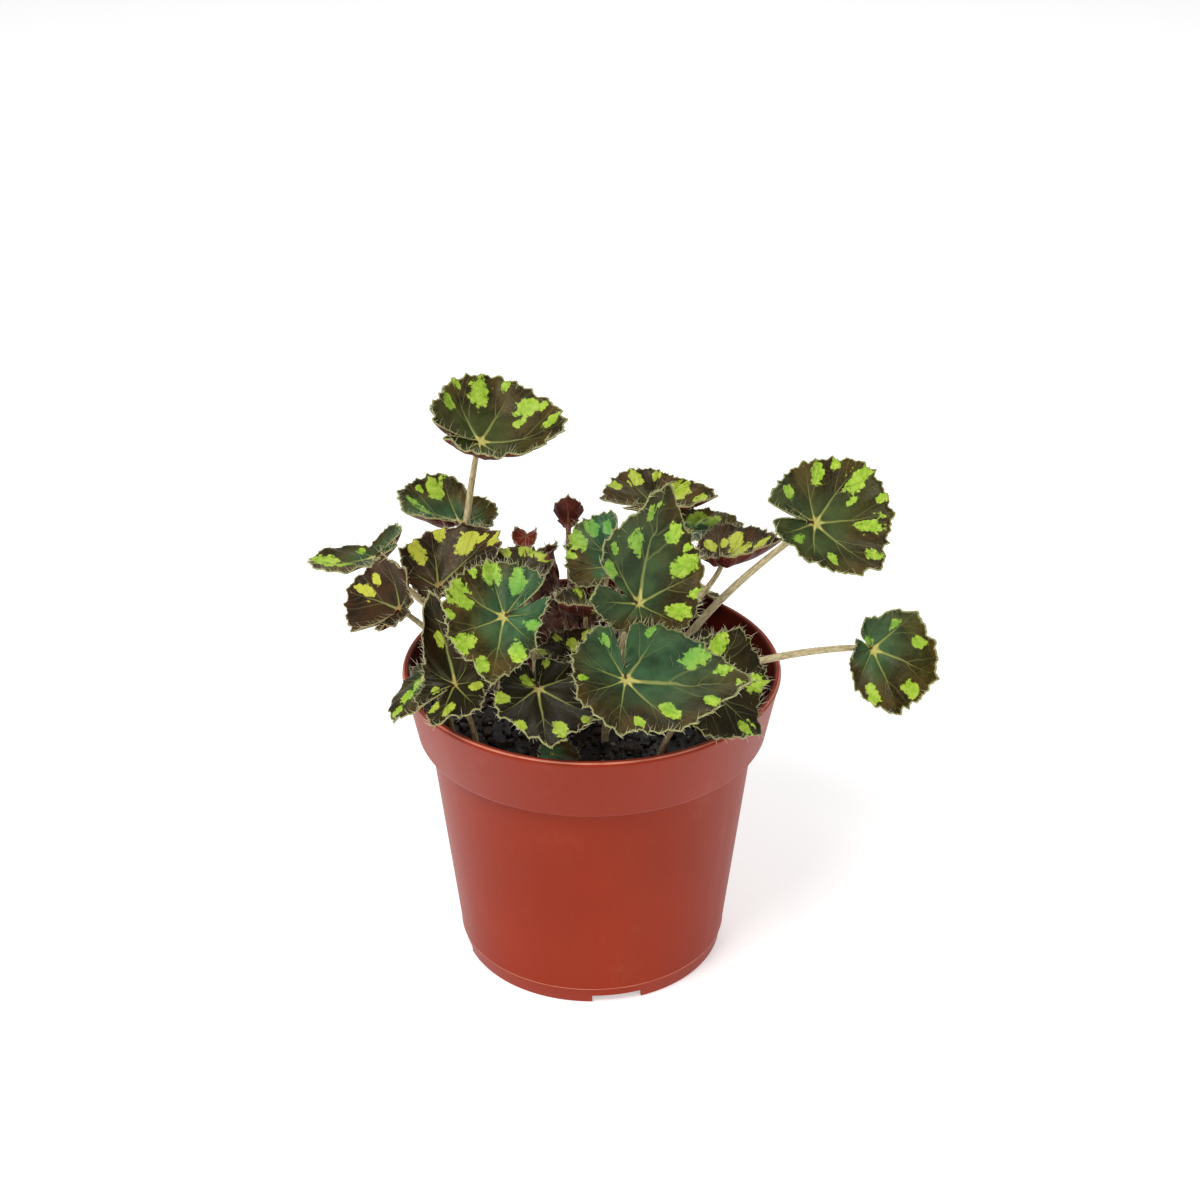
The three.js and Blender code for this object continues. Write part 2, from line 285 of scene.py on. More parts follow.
# The blades' poses and outlines. Each starts at the end of its stalk, which the frame gives.
# face, lift and turn aim it, in degrees; tip, side and back are how far out its margin is, in mm.
# taper is how late the tip narrows, point a drawn-out end in mm, skew how much fuller one side is,
# and cleft where the blade is split, in degrees from the tip.
# cup, fold, droop and roll bend the margin up or down, in degrees.
# teal is how blue-green the middle is, a colour that stands partly for a painted sheen; red is how wine-red
# the blade is; shade is how much painted shade darkens it, for blades low or deep in the plant, partly also
# their darker older colour.
# lobe is how far its points stand out. spots are (degrees from the tip, part of the way out, size).
leaves = {
    "top": {
        "face": 33, "lift": 66, "turn": 65, "tip": 29, "side": 22, "back": 20, "taper": 4.5,
        "skew": 0.08, "cleft": -157, "cup": 60, "fold": 0, "droop": 2, "roll": -8,
        "teal": 0.15,
        "spots": [
            (135, 0.81, 1), (90, 0.76, 1.6), (35, 0.78, 1.4), (5, 0.85, 1.1), (115, 0.93, 0.6),
            (65, 0.93, 0.7), (25, 0.9, 0.6), (25, 0.54, 0.6),
        ],
    },
    "back_left": {
        "face": 15, "lift": 74, "turn": -121, "tip": 22, "side": 10, "back": 14, "taper": 0.8,
        "skew": 0.04, "cleft": 90, "cup": 60, "fold": 18, "droop": 8, "roll": 7,
        "teal": 0.7, "lobe": 0.03,
        "spots": [(-35, 0.73, 1.2), (-20, 0.85, 0.5), (0, 0.76, 0.8), (5, 0.54, 0.7), (-50, 0.93, 0.5)],
    },
    "far_left": {
        "face": -60, "lift": 74, "turn": -21, "tip": 21, "side": 8, "back": 14, "taper": 2.9,
        "skew": 0.3, "cleft": 154, "cup": 45, "fold": -6, "droop": 22, "roll": 9,
        "teal": 0.6, "lobe": 0.02,
        "spots": [(-5, 0.78, 1.4), (10, 0.49, 0.8), (-45, 0.51, 0.6)],
    },
    "low_left": {
        "face": -54, "lift": 41, "turn": -80, "tip": 22, "side": 14, "back": 7, "taper": 2.2,
        "skew": -0.15, "cleft": 79, "cup": 50, "fold": 20, "droop": 10, "roll": 0,
        "teal": 0, "red": 0.7, "shade": 0.25, "lobe": 0.1,
        "spots": [(-5, 0.71, 1), (-5, 0.85, 0.6), (-25, 0.73, 0.7)],
    },
    "left_dark": {
        "face": -34, "lift": 50, "turn": 158, "tip": 25, "side": 15, "back": 6, "taper": 4,
        "skew": 0.2, "cleft": -70, "cup": 45, "fold": 30, "droop": 18, "roll": -6,
        "teal": 0.05, "red": 0.65, "shade": 0.2,
        "spots": [
            (75, 0.78, 1.3), (15, 0.71, 1.3), (45, 0.93, 0.8), (-5, 0.93, 0.8), (70, 0.93, 0.6),
            (5, 0.85, 0.6),
        ],
    },
    "front_round": {
        "face": 12, "lift": 50, "turn": -20, "tip": 22, "side": 17, "back": 17, "taper": 4,
        "point": 2, "skew": -0.24, "cleft": 132, "cup": 35, "fold": 20, "droop": 0, "roll": 5,
        "teal": 0.85,
        "spots": [
            (-100, 0.85, 1.5), (-90, 0.63, 1), (-150, 0.81, 1.3), (170, 0.63, 1.1), (175, 0.83, 0.7),
            (-70, 0.93, 0.8), (-40, 0.85, 1.4), (30, 0.76, 1.2), (-10, 0.88, 0.9), (-130, 0.93, 0.7),
            (75, 0.81, 1), (-85, 0.93, 0.5),
        ],
    },
    "front_left": {
        "face": -23, "lift": 60, "turn": 210, "tip": 28, "side": 10, "back": 17, "taper": 7,
        "skew": 0, "cleft": 128, "cup": 45, "fold": -15, "droop": -20, "roll": -10,
        "teal": 0.1, "red": 0.35, "shade": 0.65, "lobe": 0.2,
        "spots": [(165, 0.63, 0.9), (-120, 0.61, 0.8), (135, 0.93, 0.8), (5, 0.56, 0.8), (100, 0.54, 0.5)],
    },
    "rim_left": {
        "face": -60, "lift": 47, "turn": 25, "tip": 17, "side": 7, "back": 5, "taper": 2,
        "skew": -0.2, "cleft": 168, "cup": 10, "fold": -15, "droop": 0, "roll": 7,
        "teal": 0.4, "shade": 0.3, "lobe": 0.1,
        "spots": [(-10, 0.17, 0.7), (-15, 0.49, 0.8), (-10, 0.83, 0.7)],
    },
    "front_low": {
        "face": 23, "lift": 62, "turn": -14, "tip": 25, "side": 16, "back": 10, "taper": 0.9,
        "point": 4, "skew": 0.25, "cleft": 189, "cup": 23, "fold": -4, "droop": -4, "roll": -8,
        "teal": 0.05, "red": 0.2, "shade": 0.85, "lobe": 0.06,
        "spots": [
            (-65, 0.85, 0.9), (-25, 0.93, 1), (15, 0.83, 1.1), (45, 0.93, 0.7), (-125, 0.34, 0.8),
            (160, 0.9, 0.5),
        ],
    },
    "inner_brown": {
        "face": -4, "lift": 65, "turn": -142, "tip": 14, "side": 12, "back": 11, "taper": 2.7,
        "skew": 0.15, "cleft": 57, "cup": 10, "fold": 25, "droop": 0, "roll": 2,
        "teal": 0, "red": 0.35, "shade": 0.7, "lobe": 0.12,
        "spots": [(0, 0.83, 0.6), (-15, 0.49, 0.8), (40, 0.88, 0.7), (-50, 0.83, 0.6)],
    },
    "front_big": {
        "face": 30, "lift": 64, "turn": 60, "tip": 36, "side": 21, "back": 17, "taper": 2.6,
        "point": 5, "skew": 0, "cleft": 98, "cup": 20, "fold": -6, "droop": -5, "roll": 0,
        "teal": 0.8, "shade": 0.22, "lobe": 0.07,
        "spots": [
            (25, 0.81, 1.5), (10, 0.9, 0.8), (-15, 0.88, 0.9), (-40, 0.68, 1.1), (120, 0.76, 0.7),
            (-75, 0.81, 0.7), (70, 0.9, 0.6), (-165, 0.81, 0.6), (0, 0.93, 0.5),
        ],
    },
    "front_right": {
        "face": 27, "lift": 51, "turn": 38, "tip": 21, "side": 18, "back": 12, "taper": 3.6,
        "point": 3, "skew": 0.25, "cleft": -151, "cup": 12, "fold": 4, "droop": 25, "roll": 0,
        "teal": 0.1, "shade": 0.68, "lobe": 0.08,
        "spots": [(105, 0.76, 1.3), (45, 0.85, 1.2), (-5, 0.83, 1)],
    },
    "tall": {
        "face": 30, "lift": 22, "turn": 158, "tip": 36, "side": 18.5, "back": 9, "taper": 2.2,
        "point": 7, "skew": -0.03, "cleft": 68, "cup": 21, "fold": 8, "droop": -8, "roll": -8,
        "teal": 0.55, "shade": 0.2, "lobe": 0.06,
        "spots": [
            (15, 0.63, 1.2), (5, 0.81, 0.7), (-15, 0.83, 1.1), (-40, 0.76, 1.5), (-40, 0.9, 0.8),
            (-30, 0.9, 0.6), (-70, 0.93, 0.7), (-90, 0.68, 1.2), (55, 0.73, 1), (40, 0.83, 0.6),
            (0, 0.85, 0.5),
        ],
    },
    "teal": {
        "face": -60, "lift": 51, "turn": -98, "tip": 20, "side": 16, "back": 7, "taper": 4,
        "skew": -0.08, "cleft": -54, "cup": 40, "fold": -4, "droop": 0, "roll": 3,
        "teal": 1,
        "spots": [(15, 0.88, 1.4), (-10, 0.81, 1), (-30, 0.73, 0.8), (35, 0.93, 0.7)],
    },
    "back_cup": {
        "face": 28, "lift": 67, "turn": 58, "tip": 21, "side": 11, "back": 17, "taper": 4.5,
        "skew": 0.13, "cleft": -150, "cup": 50, "fold": 18, "droop": -28, "roll": -25,
        "teal": 0.05, "red": 0.3,
        "spots": [(130, 0.76, 1), (95, 0.85, 0.6), (40, 0.68, 1.4), (160, 0.88, 0.8), (5, 0.76, 0.8)],
    },
    "back_stripe": {
        "face": 20, "lift": 75, "turn": 77, "tip": 18, "side": 10, "back": 10, "taper": 4,
        "skew": -0.1, "cleft": -144, "cup": 30, "fold": 14, "droop": 2, "roll": -4,
        "teal": 0.9,
        "spots": [(60, 0.46, 1.1), (20, 0.56, 0.9), (45, 0.66, 0.6)],
    },
    "back_right": {
        "face": -12, "lift": 80, "turn": 100, "tip": 21, "side": 15, "back": 8, "taper": 3.6,
        "skew": 0.2, "cleft": -100, "cup": 55, "fold": 0, "droop": 0, "roll": -40,
        "teal": 0.1, "red": 0.55, "shade": 0.2,
        "spots": [(115, 0.61, 0.9), (65, 0.66, 1), (40, 0.46, 1.2), (20, 0.76, 0.9), (85, 0.51, 0.6)],
    },
    "right_high": {
        "face": 21, "lift": 39, "turn": 34, "tip": 26, "side": 22, "back": 18, "taper": 4,
        "point": 2, "skew": 0.15, "cleft": -141, "cup": 40, "fold": 3, "droop": -11, "roll": -17,
        "teal": 0.3,
        "spots": [
            (130, 0.76, 1), (130, 0.88, 0.6), (90, 0.76, 1.5), (90, 0.93, 0.7), (40, 0.73, 1.3),
            (180, 0.73, 0.8), (115, 0.93, 0.7), (65, 0.93, 0.8), (10, 0.85, 0.9), (-30, 0.63, 0.8),
            (-95, 0.56, 0.8), (75, 0.56, 0.6), (50, 0.85, 0.6),
        ],
    },
    "right_far": {
        "face": -11, "lift": 18, "turn": 78, "tip": 26, "side": 14, "back": 6, "taper": 0.8,
        "skew": 0, "cleft": 147, "cup": 50, "fold": -7, "droop": -8, "roll": 0,
        "teal": 0.6, "lobe": 0.08,
        "spots": [
            (30, 0.71, 1), (-25, 0.76, 1.2), (65, 0.61, 0.8), (-70, 0.85, 0.9), (-75, 0.73, 0.7),
            (130, 0.37, 0.6),
        ],
    },
    "inner_right": {
        "face": -5, "lift": 65, "turn": 211, "tip": 9, "side": 7, "back": 5, "taper": 3,
        "skew": 0.3, "cleft": 62, "cup": 10, "fold": 10, "droop": 4, "roll": 0,
        "teal": 0.1, "red": 0.4, "shade": 0.6,
        "spots": [(40, 0.7, 0.8)],
    },
    "inner_edge": {
        "face": -5, "lift": 78, "turn": 0, "tip": 14, "side": 11, "back": 10, "taper": 2,
        "skew": 0, "cleft": 180, "cup": 55, "fold": 0, "droop": -42, "roll": 0,
        "teal": 0.1, "red": 0.2, "shade": 0.35,
        "spots": [(150, 0.8, 1), (-160, 0.85, 0.7), (30, 0.8, 0.9)],
    },
    "inner_spot": {
        "face": 8, "lift": 74, "turn": -137, "tip": 11, "side": 10, "back": 8, "taper": 2.4,
        "skew": -0.25, "cleft": 64, "cup": 18, "fold": -18, "droop": 4, "roll": 6,
        "teal": 0.1, "red": 0.35, "shade": 0.5,
        "spots": [(-15, 0.9, 0.8), (-55, 0.85, 0.8), (-75, 0.9, 0.9), (-95, 0.9, 0.8)],
    },
    "seedling": {
        "face": 10, "lift": 70, "turn": 80, "tip": 8, "side": 5, "back": 4, "taper": 2,
        "skew": 0, "cleft": 180, "cup": 10, "fold": 10, "droop": 0, "roll": 0,
        "teal": 1,
    },
    "rear_left": {
        "face": -155, "lift": 55, "turn": -10, "tip": 22, "side": 17, "back": 12, "taper": 2.4,
        "skew": 0.12, "cleft": 165, "cup": 25, "fold": 8, "droop": 10, "roll": 0,
        "teal": 0.3,
        "spots": [(30, 0.75, 1.2), (-30, 0.78, 1.1), (85, 0.7, 1.2), (-80, 0.75, 1)],
    },
    "rear_middle": {
        "face": 175, "lift": 60, "turn": 15, "tip": 23, "side": 17, "back": 13, "taper": 3,
        "skew": -0.12, "cleft": -160, "cup": 30, "fold": 0, "droop": 10, "roll": 0,
        "teal": 0.4,
        "spots": [(25, 0.75, 1.3), (-25, 0.75, 1.2), (75, 0.7, 1.1), (-85, 0.75, 1.2), (125, 0.7, 0.9)],
    },
    "rear_right": {
        "face": 130, "lift": 66, "turn": -25, "tip": 13, "side": 11, "back": 8, "taper": 2.6,
        "skew": 0.1, "cleft": 170, "cup": 20, "fold": 10, "droop": 5, "roll": 0,
        "teal": 0.2,
        "spots": [(30, 0.75, 1.1), (-30, 0.78, 1), (90, 0.7, 1.1)],
    },
    "young_left": {
        "face": -10, "lift": 75, "turn": 0, "tip": 5, "side": 5.5, "back": 3, "taper": 2,
        "skew": 0, "cleft": 180, "cup": 30, "fold": 62, "droop": 0, "roll": 0,
        "red": 1, "lobe": 0.04,
        "slot": "young_leaf",
    },
    "young_middle": {
        "face": 180, "lift": 30, "turn": 180, "tip": 11, "side": 4.2, "back": 3, "taper": 2,
        "skew": 0, "cleft": 180, "cup": 60, "fold": 20, "droop": 0, "roll": 0,
        "red": 1, "lobe": 0.1,
        "slot": "young_leaf",
    },
}

bladeLook = {
    "columns": 224,  # 32 to each main vein
    "rings": 14,
    "smallColumns": 112,
    "smallRings": 9,
    "smallTip": 18,  # mm, a blade with a shorter tip is made with the small disc
    "fullTip": 22,  # mm, a blade with a shorter tip swells and waves less
    "thickness": 0.45,  # mm
    "cadThickness": 0.8,  # mm, of the plain solid
    "stalkGap": 0.3,  # mm of air between the plain solid and its stalk
    "cleftWidth": 6,  # degrees, half the opening of the cleft
    "cleftDepth": 0.8,  # of the radius
    "pointWidth": 12,  # degrees, of the drawn-out tip
    "lobe": 0.035,  # the points at the ends of the main veins, as a part of the radius
    "tooth": 0.075,  # the small teeth between them
    "teethFrom": 0.72,  # of the radius, where the blade starts to follow its teeth
    "ruffle": 0.75,  # mm, up and down along the margin
    "pillow": 0.8,  # mm, how far the blade swells between its veins
    "spotSize": 2.5,  # mm, radius of a spot of size 1
    "spotStretch": 1.45,  # spots are this much longer along the veins
}


def bladeAxes(leaf):
    face, lift, turn = (leaf[key] * degree for key in ("face", "lift", "turn"))
    ahead = np.array([math.sin(face), -math.cos(face), 0.0])
    up = np.array([0.0, 0.0, 1.0])
    out = ahead * math.cos(lift) + up * math.sin(lift)
    down = ahead * math.sin(lift) - up * math.cos(lift)
    toTip = down * math.cos(turn) + np.cross(out, down) * math.sin(turn)
    return out, toTip, np.cross(out, toTip)


def stalkEnds(name, out):
    # the middle of the stalk's top face, and of its foot, from its solid in the frame
    co = points(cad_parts["stalk_" + name].data)
    foot = co[co[:, 2] < co[:, 2].min() + stalkLook["footSlice"] * mm].mean(0)
    farthest = co[np.argmax(np.linalg.norm(co - foot, axis=1))]
    level = np.abs((co - farthest) @ out) < stalkLook["topSlice"] * mm
    near = np.linalg.norm(co - farthest, axis=1) < stalkLook["topWidth"] * mm
    return co[level & near].mean(0), foot


def cleftBearing(leaf):
    return (leaf["cleft"] + 180) % 360 - 180


def bearing(leaf, vein):
    # vein is an angle in degrees that puts the cleft at 180 and main veins at every veinGap.
    # The result is the same direction as degrees round from the tip.
    cleft = cleftBearing(leaf)
    side = math.copysign(1, cleft)
    tipAt = side * veinGap * round((180 - abs(cleft)) / veinGap)
    start = cleft if side < 0 else cleft - 360
    return np.interp(vein, [-180, tipAt, 180], [start, 0, start + 360])


def marginRadius(leaf, angle):
    ahead = np.cos(angle)
    side = leaf["side"] * (1 + leaf["skew"] * np.sin(angle))
    point = leaf.get("point", 0)
    front = (leaf["tip"] - point - side) * np.abs(ahead) ** leaf["taper"]
    radius = side + np.where(ahead > 0, front, (side - leaf["back"]) * ahead)
    fromTip = (angle / degree + 180) % 360 - 180
    radius = radius + point * np.exp(-((fromTip / bladeLook["pointWidth"]) ** 2))
    away = (angle / degree - leaf["cleft"] + 180) % 360 - 180
    notch = bladeLook["cleftDepth"] * np.exp(-((away / bladeLook["cleftWidth"]) ** 2))
    return radius * (1 - notch)


def teeth(vein, seed, lobeSize):
    # how far the margin stands out, as a part of the radius
    turn = vein * degree
    lobe = (1 - np.abs(np.sin(veinCount * turn / 2))) ** 1.2
    wander = 0.5 * np.sin(3 * turn + seed) + 0.35 * np.sin(5 * turn + 2 * seed)
    small = 1 - np.abs(np.sin(veinCount * 2 * turn + wander))
    tiny = 1 - np.abs(np.sin(veinCount * 4.5 * turn + 2 * wander + seed))
    uneven = 0.7 + 0.45 * np.sin(11 * turn + 3 * seed)
    return lobeSize * (lobe - 0.3) + bladeLook["tooth"] * (uneven * (small - 0.4) + 0.3 * (tiny - 0.4))


def bladeSurface(leaf, at, seed, vein, reach, rise):
    # the place of points on the blade: vein in degrees, reach 0 at the stalk and 1 at the margin,
    # rise in metres above the blade's middle
    out, toTip, across = bladeAxes(leaf)
    angle = bearing(leaf, vein) * degree
    bend = leaf["cup"] - leaf["fold"] * np.cos(2 * angle) - leaf["droop"] * np.cos(angle)
    slope = (bend + leaf["roll"] * np.sin(angle)) * degree * reach + 1e-6
    start = bladeLook["teethFrom"]
    outer = np.clip((reach - start) / (1 - start), 0, 1) ** 1.5
    stand = teeth(vein, seed, leaf.get("lobe", bladeLook["lobe"]))
    length = marginRadius(leaf, angle) * mm * reach * (1 + stand * outer)
    size = min(1.0, leaf["tip"] / bladeLook["fullTip"])
    turn = vein * degree
    between = np.abs(np.sin(veinCount * turn / 2))
    swell = bladeLook["pillow"] * between * np.sin(math.pi * np.clip(reach, 0, 1) ** 0.8)
    ruffle = np.sin(9 * turn + seed) * 0.6 + np.sin(veinCount * turn * 2 + 2 * seed) * 0.5
    ruffle = ruffle + np.sin(23 * turn + 3 * seed) * 0.25
    wave = bladeLook["ruffle"] * ruffle * reach**4
    rise = rise + (swell + wave) * size * mm
    along = length * np.sin(slope) / slope - rise * np.sin(slope)
    height = length * (1 - np.cos(slope)) / slope + rise * np.cos(slope)
    flat = np.outer(along * np.cos(angle), toTip) + np.outer(along * np.sin(angle), across)
    return at + flat + np.outer(height, out)


def spotField(leaf, vein, reach):
    # above 0 inside a spot; the shader cuts it off raggedly
    field = np.full(len(vein), -1.0)
    angle = bearing(leaf, vein) * degree
    length = marginRadius(leaf, angle) * reach
    x, y = length * np.cos(angle), length * np.sin(angle)
    for spotAngle, spotReach, size in leaf.get("spots", ()):
        turn = spotAngle * degree
        ahead = marginRadius(leaf, np.array([turn]))[0] * spotReach
        radial = x * math.cos(turn) + y * math.sin(turn) - ahead
        sideways = y * math.cos(turn) - x * math.sin(turn)
        distance = np.hypot(radial / bladeLook["spotStretch"], sideways) / (bladeLook["spotSize"] * size)
        field = np.maximum(field, 1 - distance)
    return np.clip(field, -1, 1)


def setAttribute(mesh, name, kind, values):
    # gives every point of the mesh a value that its material reads
    layer = mesh.attributes.new(name, kind, "POINT")
    key = {"FLOAT": "value", "FLOAT_COLOR": "color", "FLOAT_VECTOR": "vector"}[kind]
    layer.data.foreach_set(key, np.ascontiguousarray(values, dtype=np.float32).ravel())


def makeBlade(name, leaf, seed, disc, paints):
    out = bladeAxes(leaf)[0]
    top = stalkEnds(name, out)[0]
    lift = bladeLook["cadThickness"] / 2 + bladeLook["stalkGap"]
    at = top + out * lift * mm
    piece = copyAs(disc, "blade_" + name)
    mesh = piece.data
    flat = points(mesh)
    vein = np.degrees(np.arctan2(flat[:, 1], flat[:, 0]))
    reach = np.hypot(flat[:, 0], flat[:, 1])
    rise = np.full(len(vein), bladeLook["thickness"] / 2 * mm)
    movePoints(mesh, bladeSurface(leaf, at, seed, vein, reach, rise))
    setAttribute(mesh, "spot", "FLOAT", spotField(leaf, vein, reach))
    # the blue-green middle (partly a painted sheen), the wine-red and the painted shade, for the material
    # to read
    tintSheenAndShade = [leaf.get("teal", 0.2), leaf.get("red", 0.0), leaf.get("shade", 0.0), 1.0]
    setAttribute(mesh, "tintSheenAndShade", "FLOAT_COLOR", np.tile(tintSheenAndShade, (len(vein), 1)))
    setAttribute(mesh, "map", "FLOAT_VECTOR", flat)
    for paint in paints:
        mesh.materials.append(paint.material)
    thickness = bladeLook["thickness"] * mm
    applyModifier(piece, "SOLIDIFY", thickness=thickness, offset=-1, material_offset=1)
    smooth(piece)
    finishPiece(piece, leaf.get("slot", "leaf_blade"), "leaf_" + name)
    return at


def veinLines(paint, where, wander):
    # masks of the main veins and of their forks, the reach, and how far aside of its main vein a point is
    x, y = paint.split(where, "ShaderNodeSeparateXYZ")[:2]
    reach = (x * x + y * y).math("SQRT")
    turn = y.math("ARCTAN2", x) + (wander - 0.5) * 0.22
    gap = veinGap * degree
    sector = (turn / gap + 0.5).math("FLOOR")
    offset = turn - sector * gap
    along = reach * offset.math("COSINE")
    aside = abs(reach * offset.math("SINE"))
    width = along.step(0.0, 0.9, 0.020, 0.004)
    main = (aside / width).step(0.4, 1.5, 1.0, 0.0)
    chance = paint.node("ShaderNodeTexWhiteNoise", {"noise_dimensions": "1D"}, {"W": sector + 3.3})
    forks = 0.0
    for start, slant, thin in ((0.38, 0.5, 0.008), (0.62, 0.62, 0.006), (0.80, 0.75, 0.005)):
        begun = along - start - (chance - 0.5) * 0.16
        line = abs(aside - begun * slant) / thin
        fork = line.step(0.4, 1.8, 1.0, 0.0) * begun.step(0.0, 0.03)
        forks = fork if forks == 0.0 else forks.most(fork)
    return main, forks, reach, aside, x


def paintBladeTop():
    paint = Paint("leafUpper", 0.4, Specular_IOR_Level=0.24, Specular_Tint=(1.0, 0.95, 0.7, 1.0))
    where = paint.attribute("map", "Vector")
    place = paint.place()
    wander = paint.grain(place, 90, 2)
    main, forks, reach, aside, ahead = veinLines(paint, where, wander)
    teal, red, shade = paint.split(paint.attribute("tintSheenAndShade", "Color"), "ShaderNodeSeparateColor")
    fine = paint.grain(place, 1100, 4)
    patch = paint.grain(place, 130, 3)
    blotch = paint.grain(place, 60, 2)
    brown = paint.mix(patch.step(0.35, 0.65), tint(32, 23, 9), tint(80, 62, 24))
    brown = paint.mix(fine.step(0.35, 0.75) * 0.35, brown, tint(100, 88, 42))
    green = paint.mix(patch.step(0.3, 0.7), tint(38, 74, 50), tint(70, 118, 78))
    olive = (reach + (blotch - 0.5) * 1.6).step(0.1, 0.9, 0.55, 0.0)
    brown = paint.mix(olive, brown, tint(70, 80, 28))
    # the blue-green middle, partly a painted sheen over the leaf's own green
    middle = (reach + ahead * 0.7 + (blotch - 0.5) * 1.2).step(0.2, 1.05, 1.0, 0.0) * teal
    base = paint.mix(middle, brown, green)
    wine = paint.mix(patch.step(0.35, 0.65), tint(36, 15, 12), tint(76, 32, 24))
    base = paint.mix(red, base, paint.mix(red.step(0.85, 1.0), wine, tint(128, 40, 32)))
    # painted shade: darkens blades that lie low or deep in the plant, partly also their darker older colour
    base = paint.mix(shade, base, tint(14, 9, 4))
    # spots: ragged towards the stalk, with dark specks along their edges, and kept off the main veins
    ragged = paint.grain(place, 520, 4, 0.65)
    keepOff = (aside / 0.05).step(0.0, 1.0, 0.5, 0.0)
    field = paint.attribute("spot") + (ragged - 0.5) * 1.5 + (patch - 0.5) * 0.7 - keepOff
    spot = field.step(-0.02, 0.16)
    specks = paint.cells(place, 1000).step(0.14, 0.32)
    spot = spot * (1 - (1 - specks) * field.step(0.1, 0.5, 1.0, 0.0))
    lime = paint.mix(ragged.step(0.3, 0.7), tint(138, 186, 34), tint(194, 220, 84))
    # the spots take the same blue-green, partly a painted sheen
    lime = paint.mix(middle * 0.8, lime, tint(92, 170, 84))
    lime = paint.mix(red, lime, tint(214, 206, 74))
    base = paint.mix(spot * 0.95, base, lime)
    # a bright wedge at the cleft, the veins, the star where the stalk joins, and the pale margin
    behind = (ahead + reach * 0.80).step(-0.02, 0.02, 1.0, 0.0)
    wedge = (aside + (patch - 0.5) * 0.1).step(0.14, 0.2) * behind * reach.step(0.3, 0.75, 0.65, 0.0)
    base = paint.mix(wedge * (1 - red), base, tint(96, 158, 52))
    base = paint.mix(main * reach.step(0.08, 0.8, 0.85, 0.3), base, tint(158, 164, 92))
    base = paint.mix(forks * reach.step(0.4, 1.0, 0.34, 0.12), base, tint(140, 146, 84))
    star = (reach + (wander - 0.5) * 0.04 - main * 0.05).step(0.055, 0.105, 1.0, 0.0)
    base = paint.mix(star, base, paint.mix(red, tint(204, 196, 112), tint(150, 110, 70)))
    margin = (reach + (fine - 0.5) * 0.012).step(0.976, 0.994)
    base = paint.mix(margin * 0.8, base, paint.mix(red * 0.6, tint(168, 172, 108), tint(170, 122, 92)))
    net = paint.cells(place, 560, "DISTANCE_TO_EDGE").step(0.0, 0.09)
    paint.feed(Base_Color=base, Roughness=fine.step(0.2, 0.8, 0.3, 0.48))
    paint.bump(net * 0.1 + fine * 0.25 - main * 0.9 - forks * 0.5, 0.6, 0.0004)
    return paint


def paintBladeUnder():
    paint = Paint("leafUnder", 0.5, Specular_IOR_Level=0.3)
    where = paint.attribute("map", "Vector")
    place = paint.place()
    wander = paint.grain(place, 90, 2)
    main, forks, reach = veinLines(paint, where, wander)[:3]
    patch = paint.grain(place, 220, 3)
    base = paint.mix(patch.step(0.3, 0.7), tint(72, 24, 18), tint(112, 46, 34))
    field = paint.attribute("spot") + (paint.grain(place, 420, 4) - 0.5) * 1.15
    base = paint.mix(field.step(0.0, 0.25) * 0.75, base, tint(170, 166, 82))
    base = paint.mix(main * 0.7, base, tint(160, 112, 78))
    base = paint.mix(forks * 0.3, base, tint(150, 92, 66))
    base = paint.mix(reach.step(0.97, 0.99), base, tint(176, 158, 108))
    paint.feed(Base_Color=base)
    paint.bump(main + forks * 0.5 + patch * 0.2, 0.6, 0.0004)
    return paint


hairLook = {
    "step": 0.7,  # mm along the margin between two lashes
    "length": (1.3, 3.2),  # mm
    "thickness": 0.09,  # mm, at the foot
    "taper": 0.85,  # how much thinner a hair is at its end
    "places": 720,  # round the margin, where a lash may stand
    "inside": 14,  # lashes on the blade just inside the margin
    "insideLength": (0.8, 1.7),
    "insideThickness": 0.06,
    "stalkEvery": 0.8,  # mm of stalk for each hair
    "stalkLength": (0.5, 1.3),
    "stalkThickness": 0.045,
}


def hairPoints(model, foot, direction, curl, length, thickness):
    # a tapering lash from foot along direction, bending towards curl
    co = points(model.data)
    side = unit(np.cross(direction, [0.31, 0.53, 0.79]))
    other = np.cross(direction, side)
    z = co[:, 2:3]
    thin = thickness * (1 - hairLook["taper"] * z)
    spine = foot + direction * z * length + curl * (z**2) * length
    return spine + side * co[:, 0:1] * thin + other * co[:, 1:2] * thin


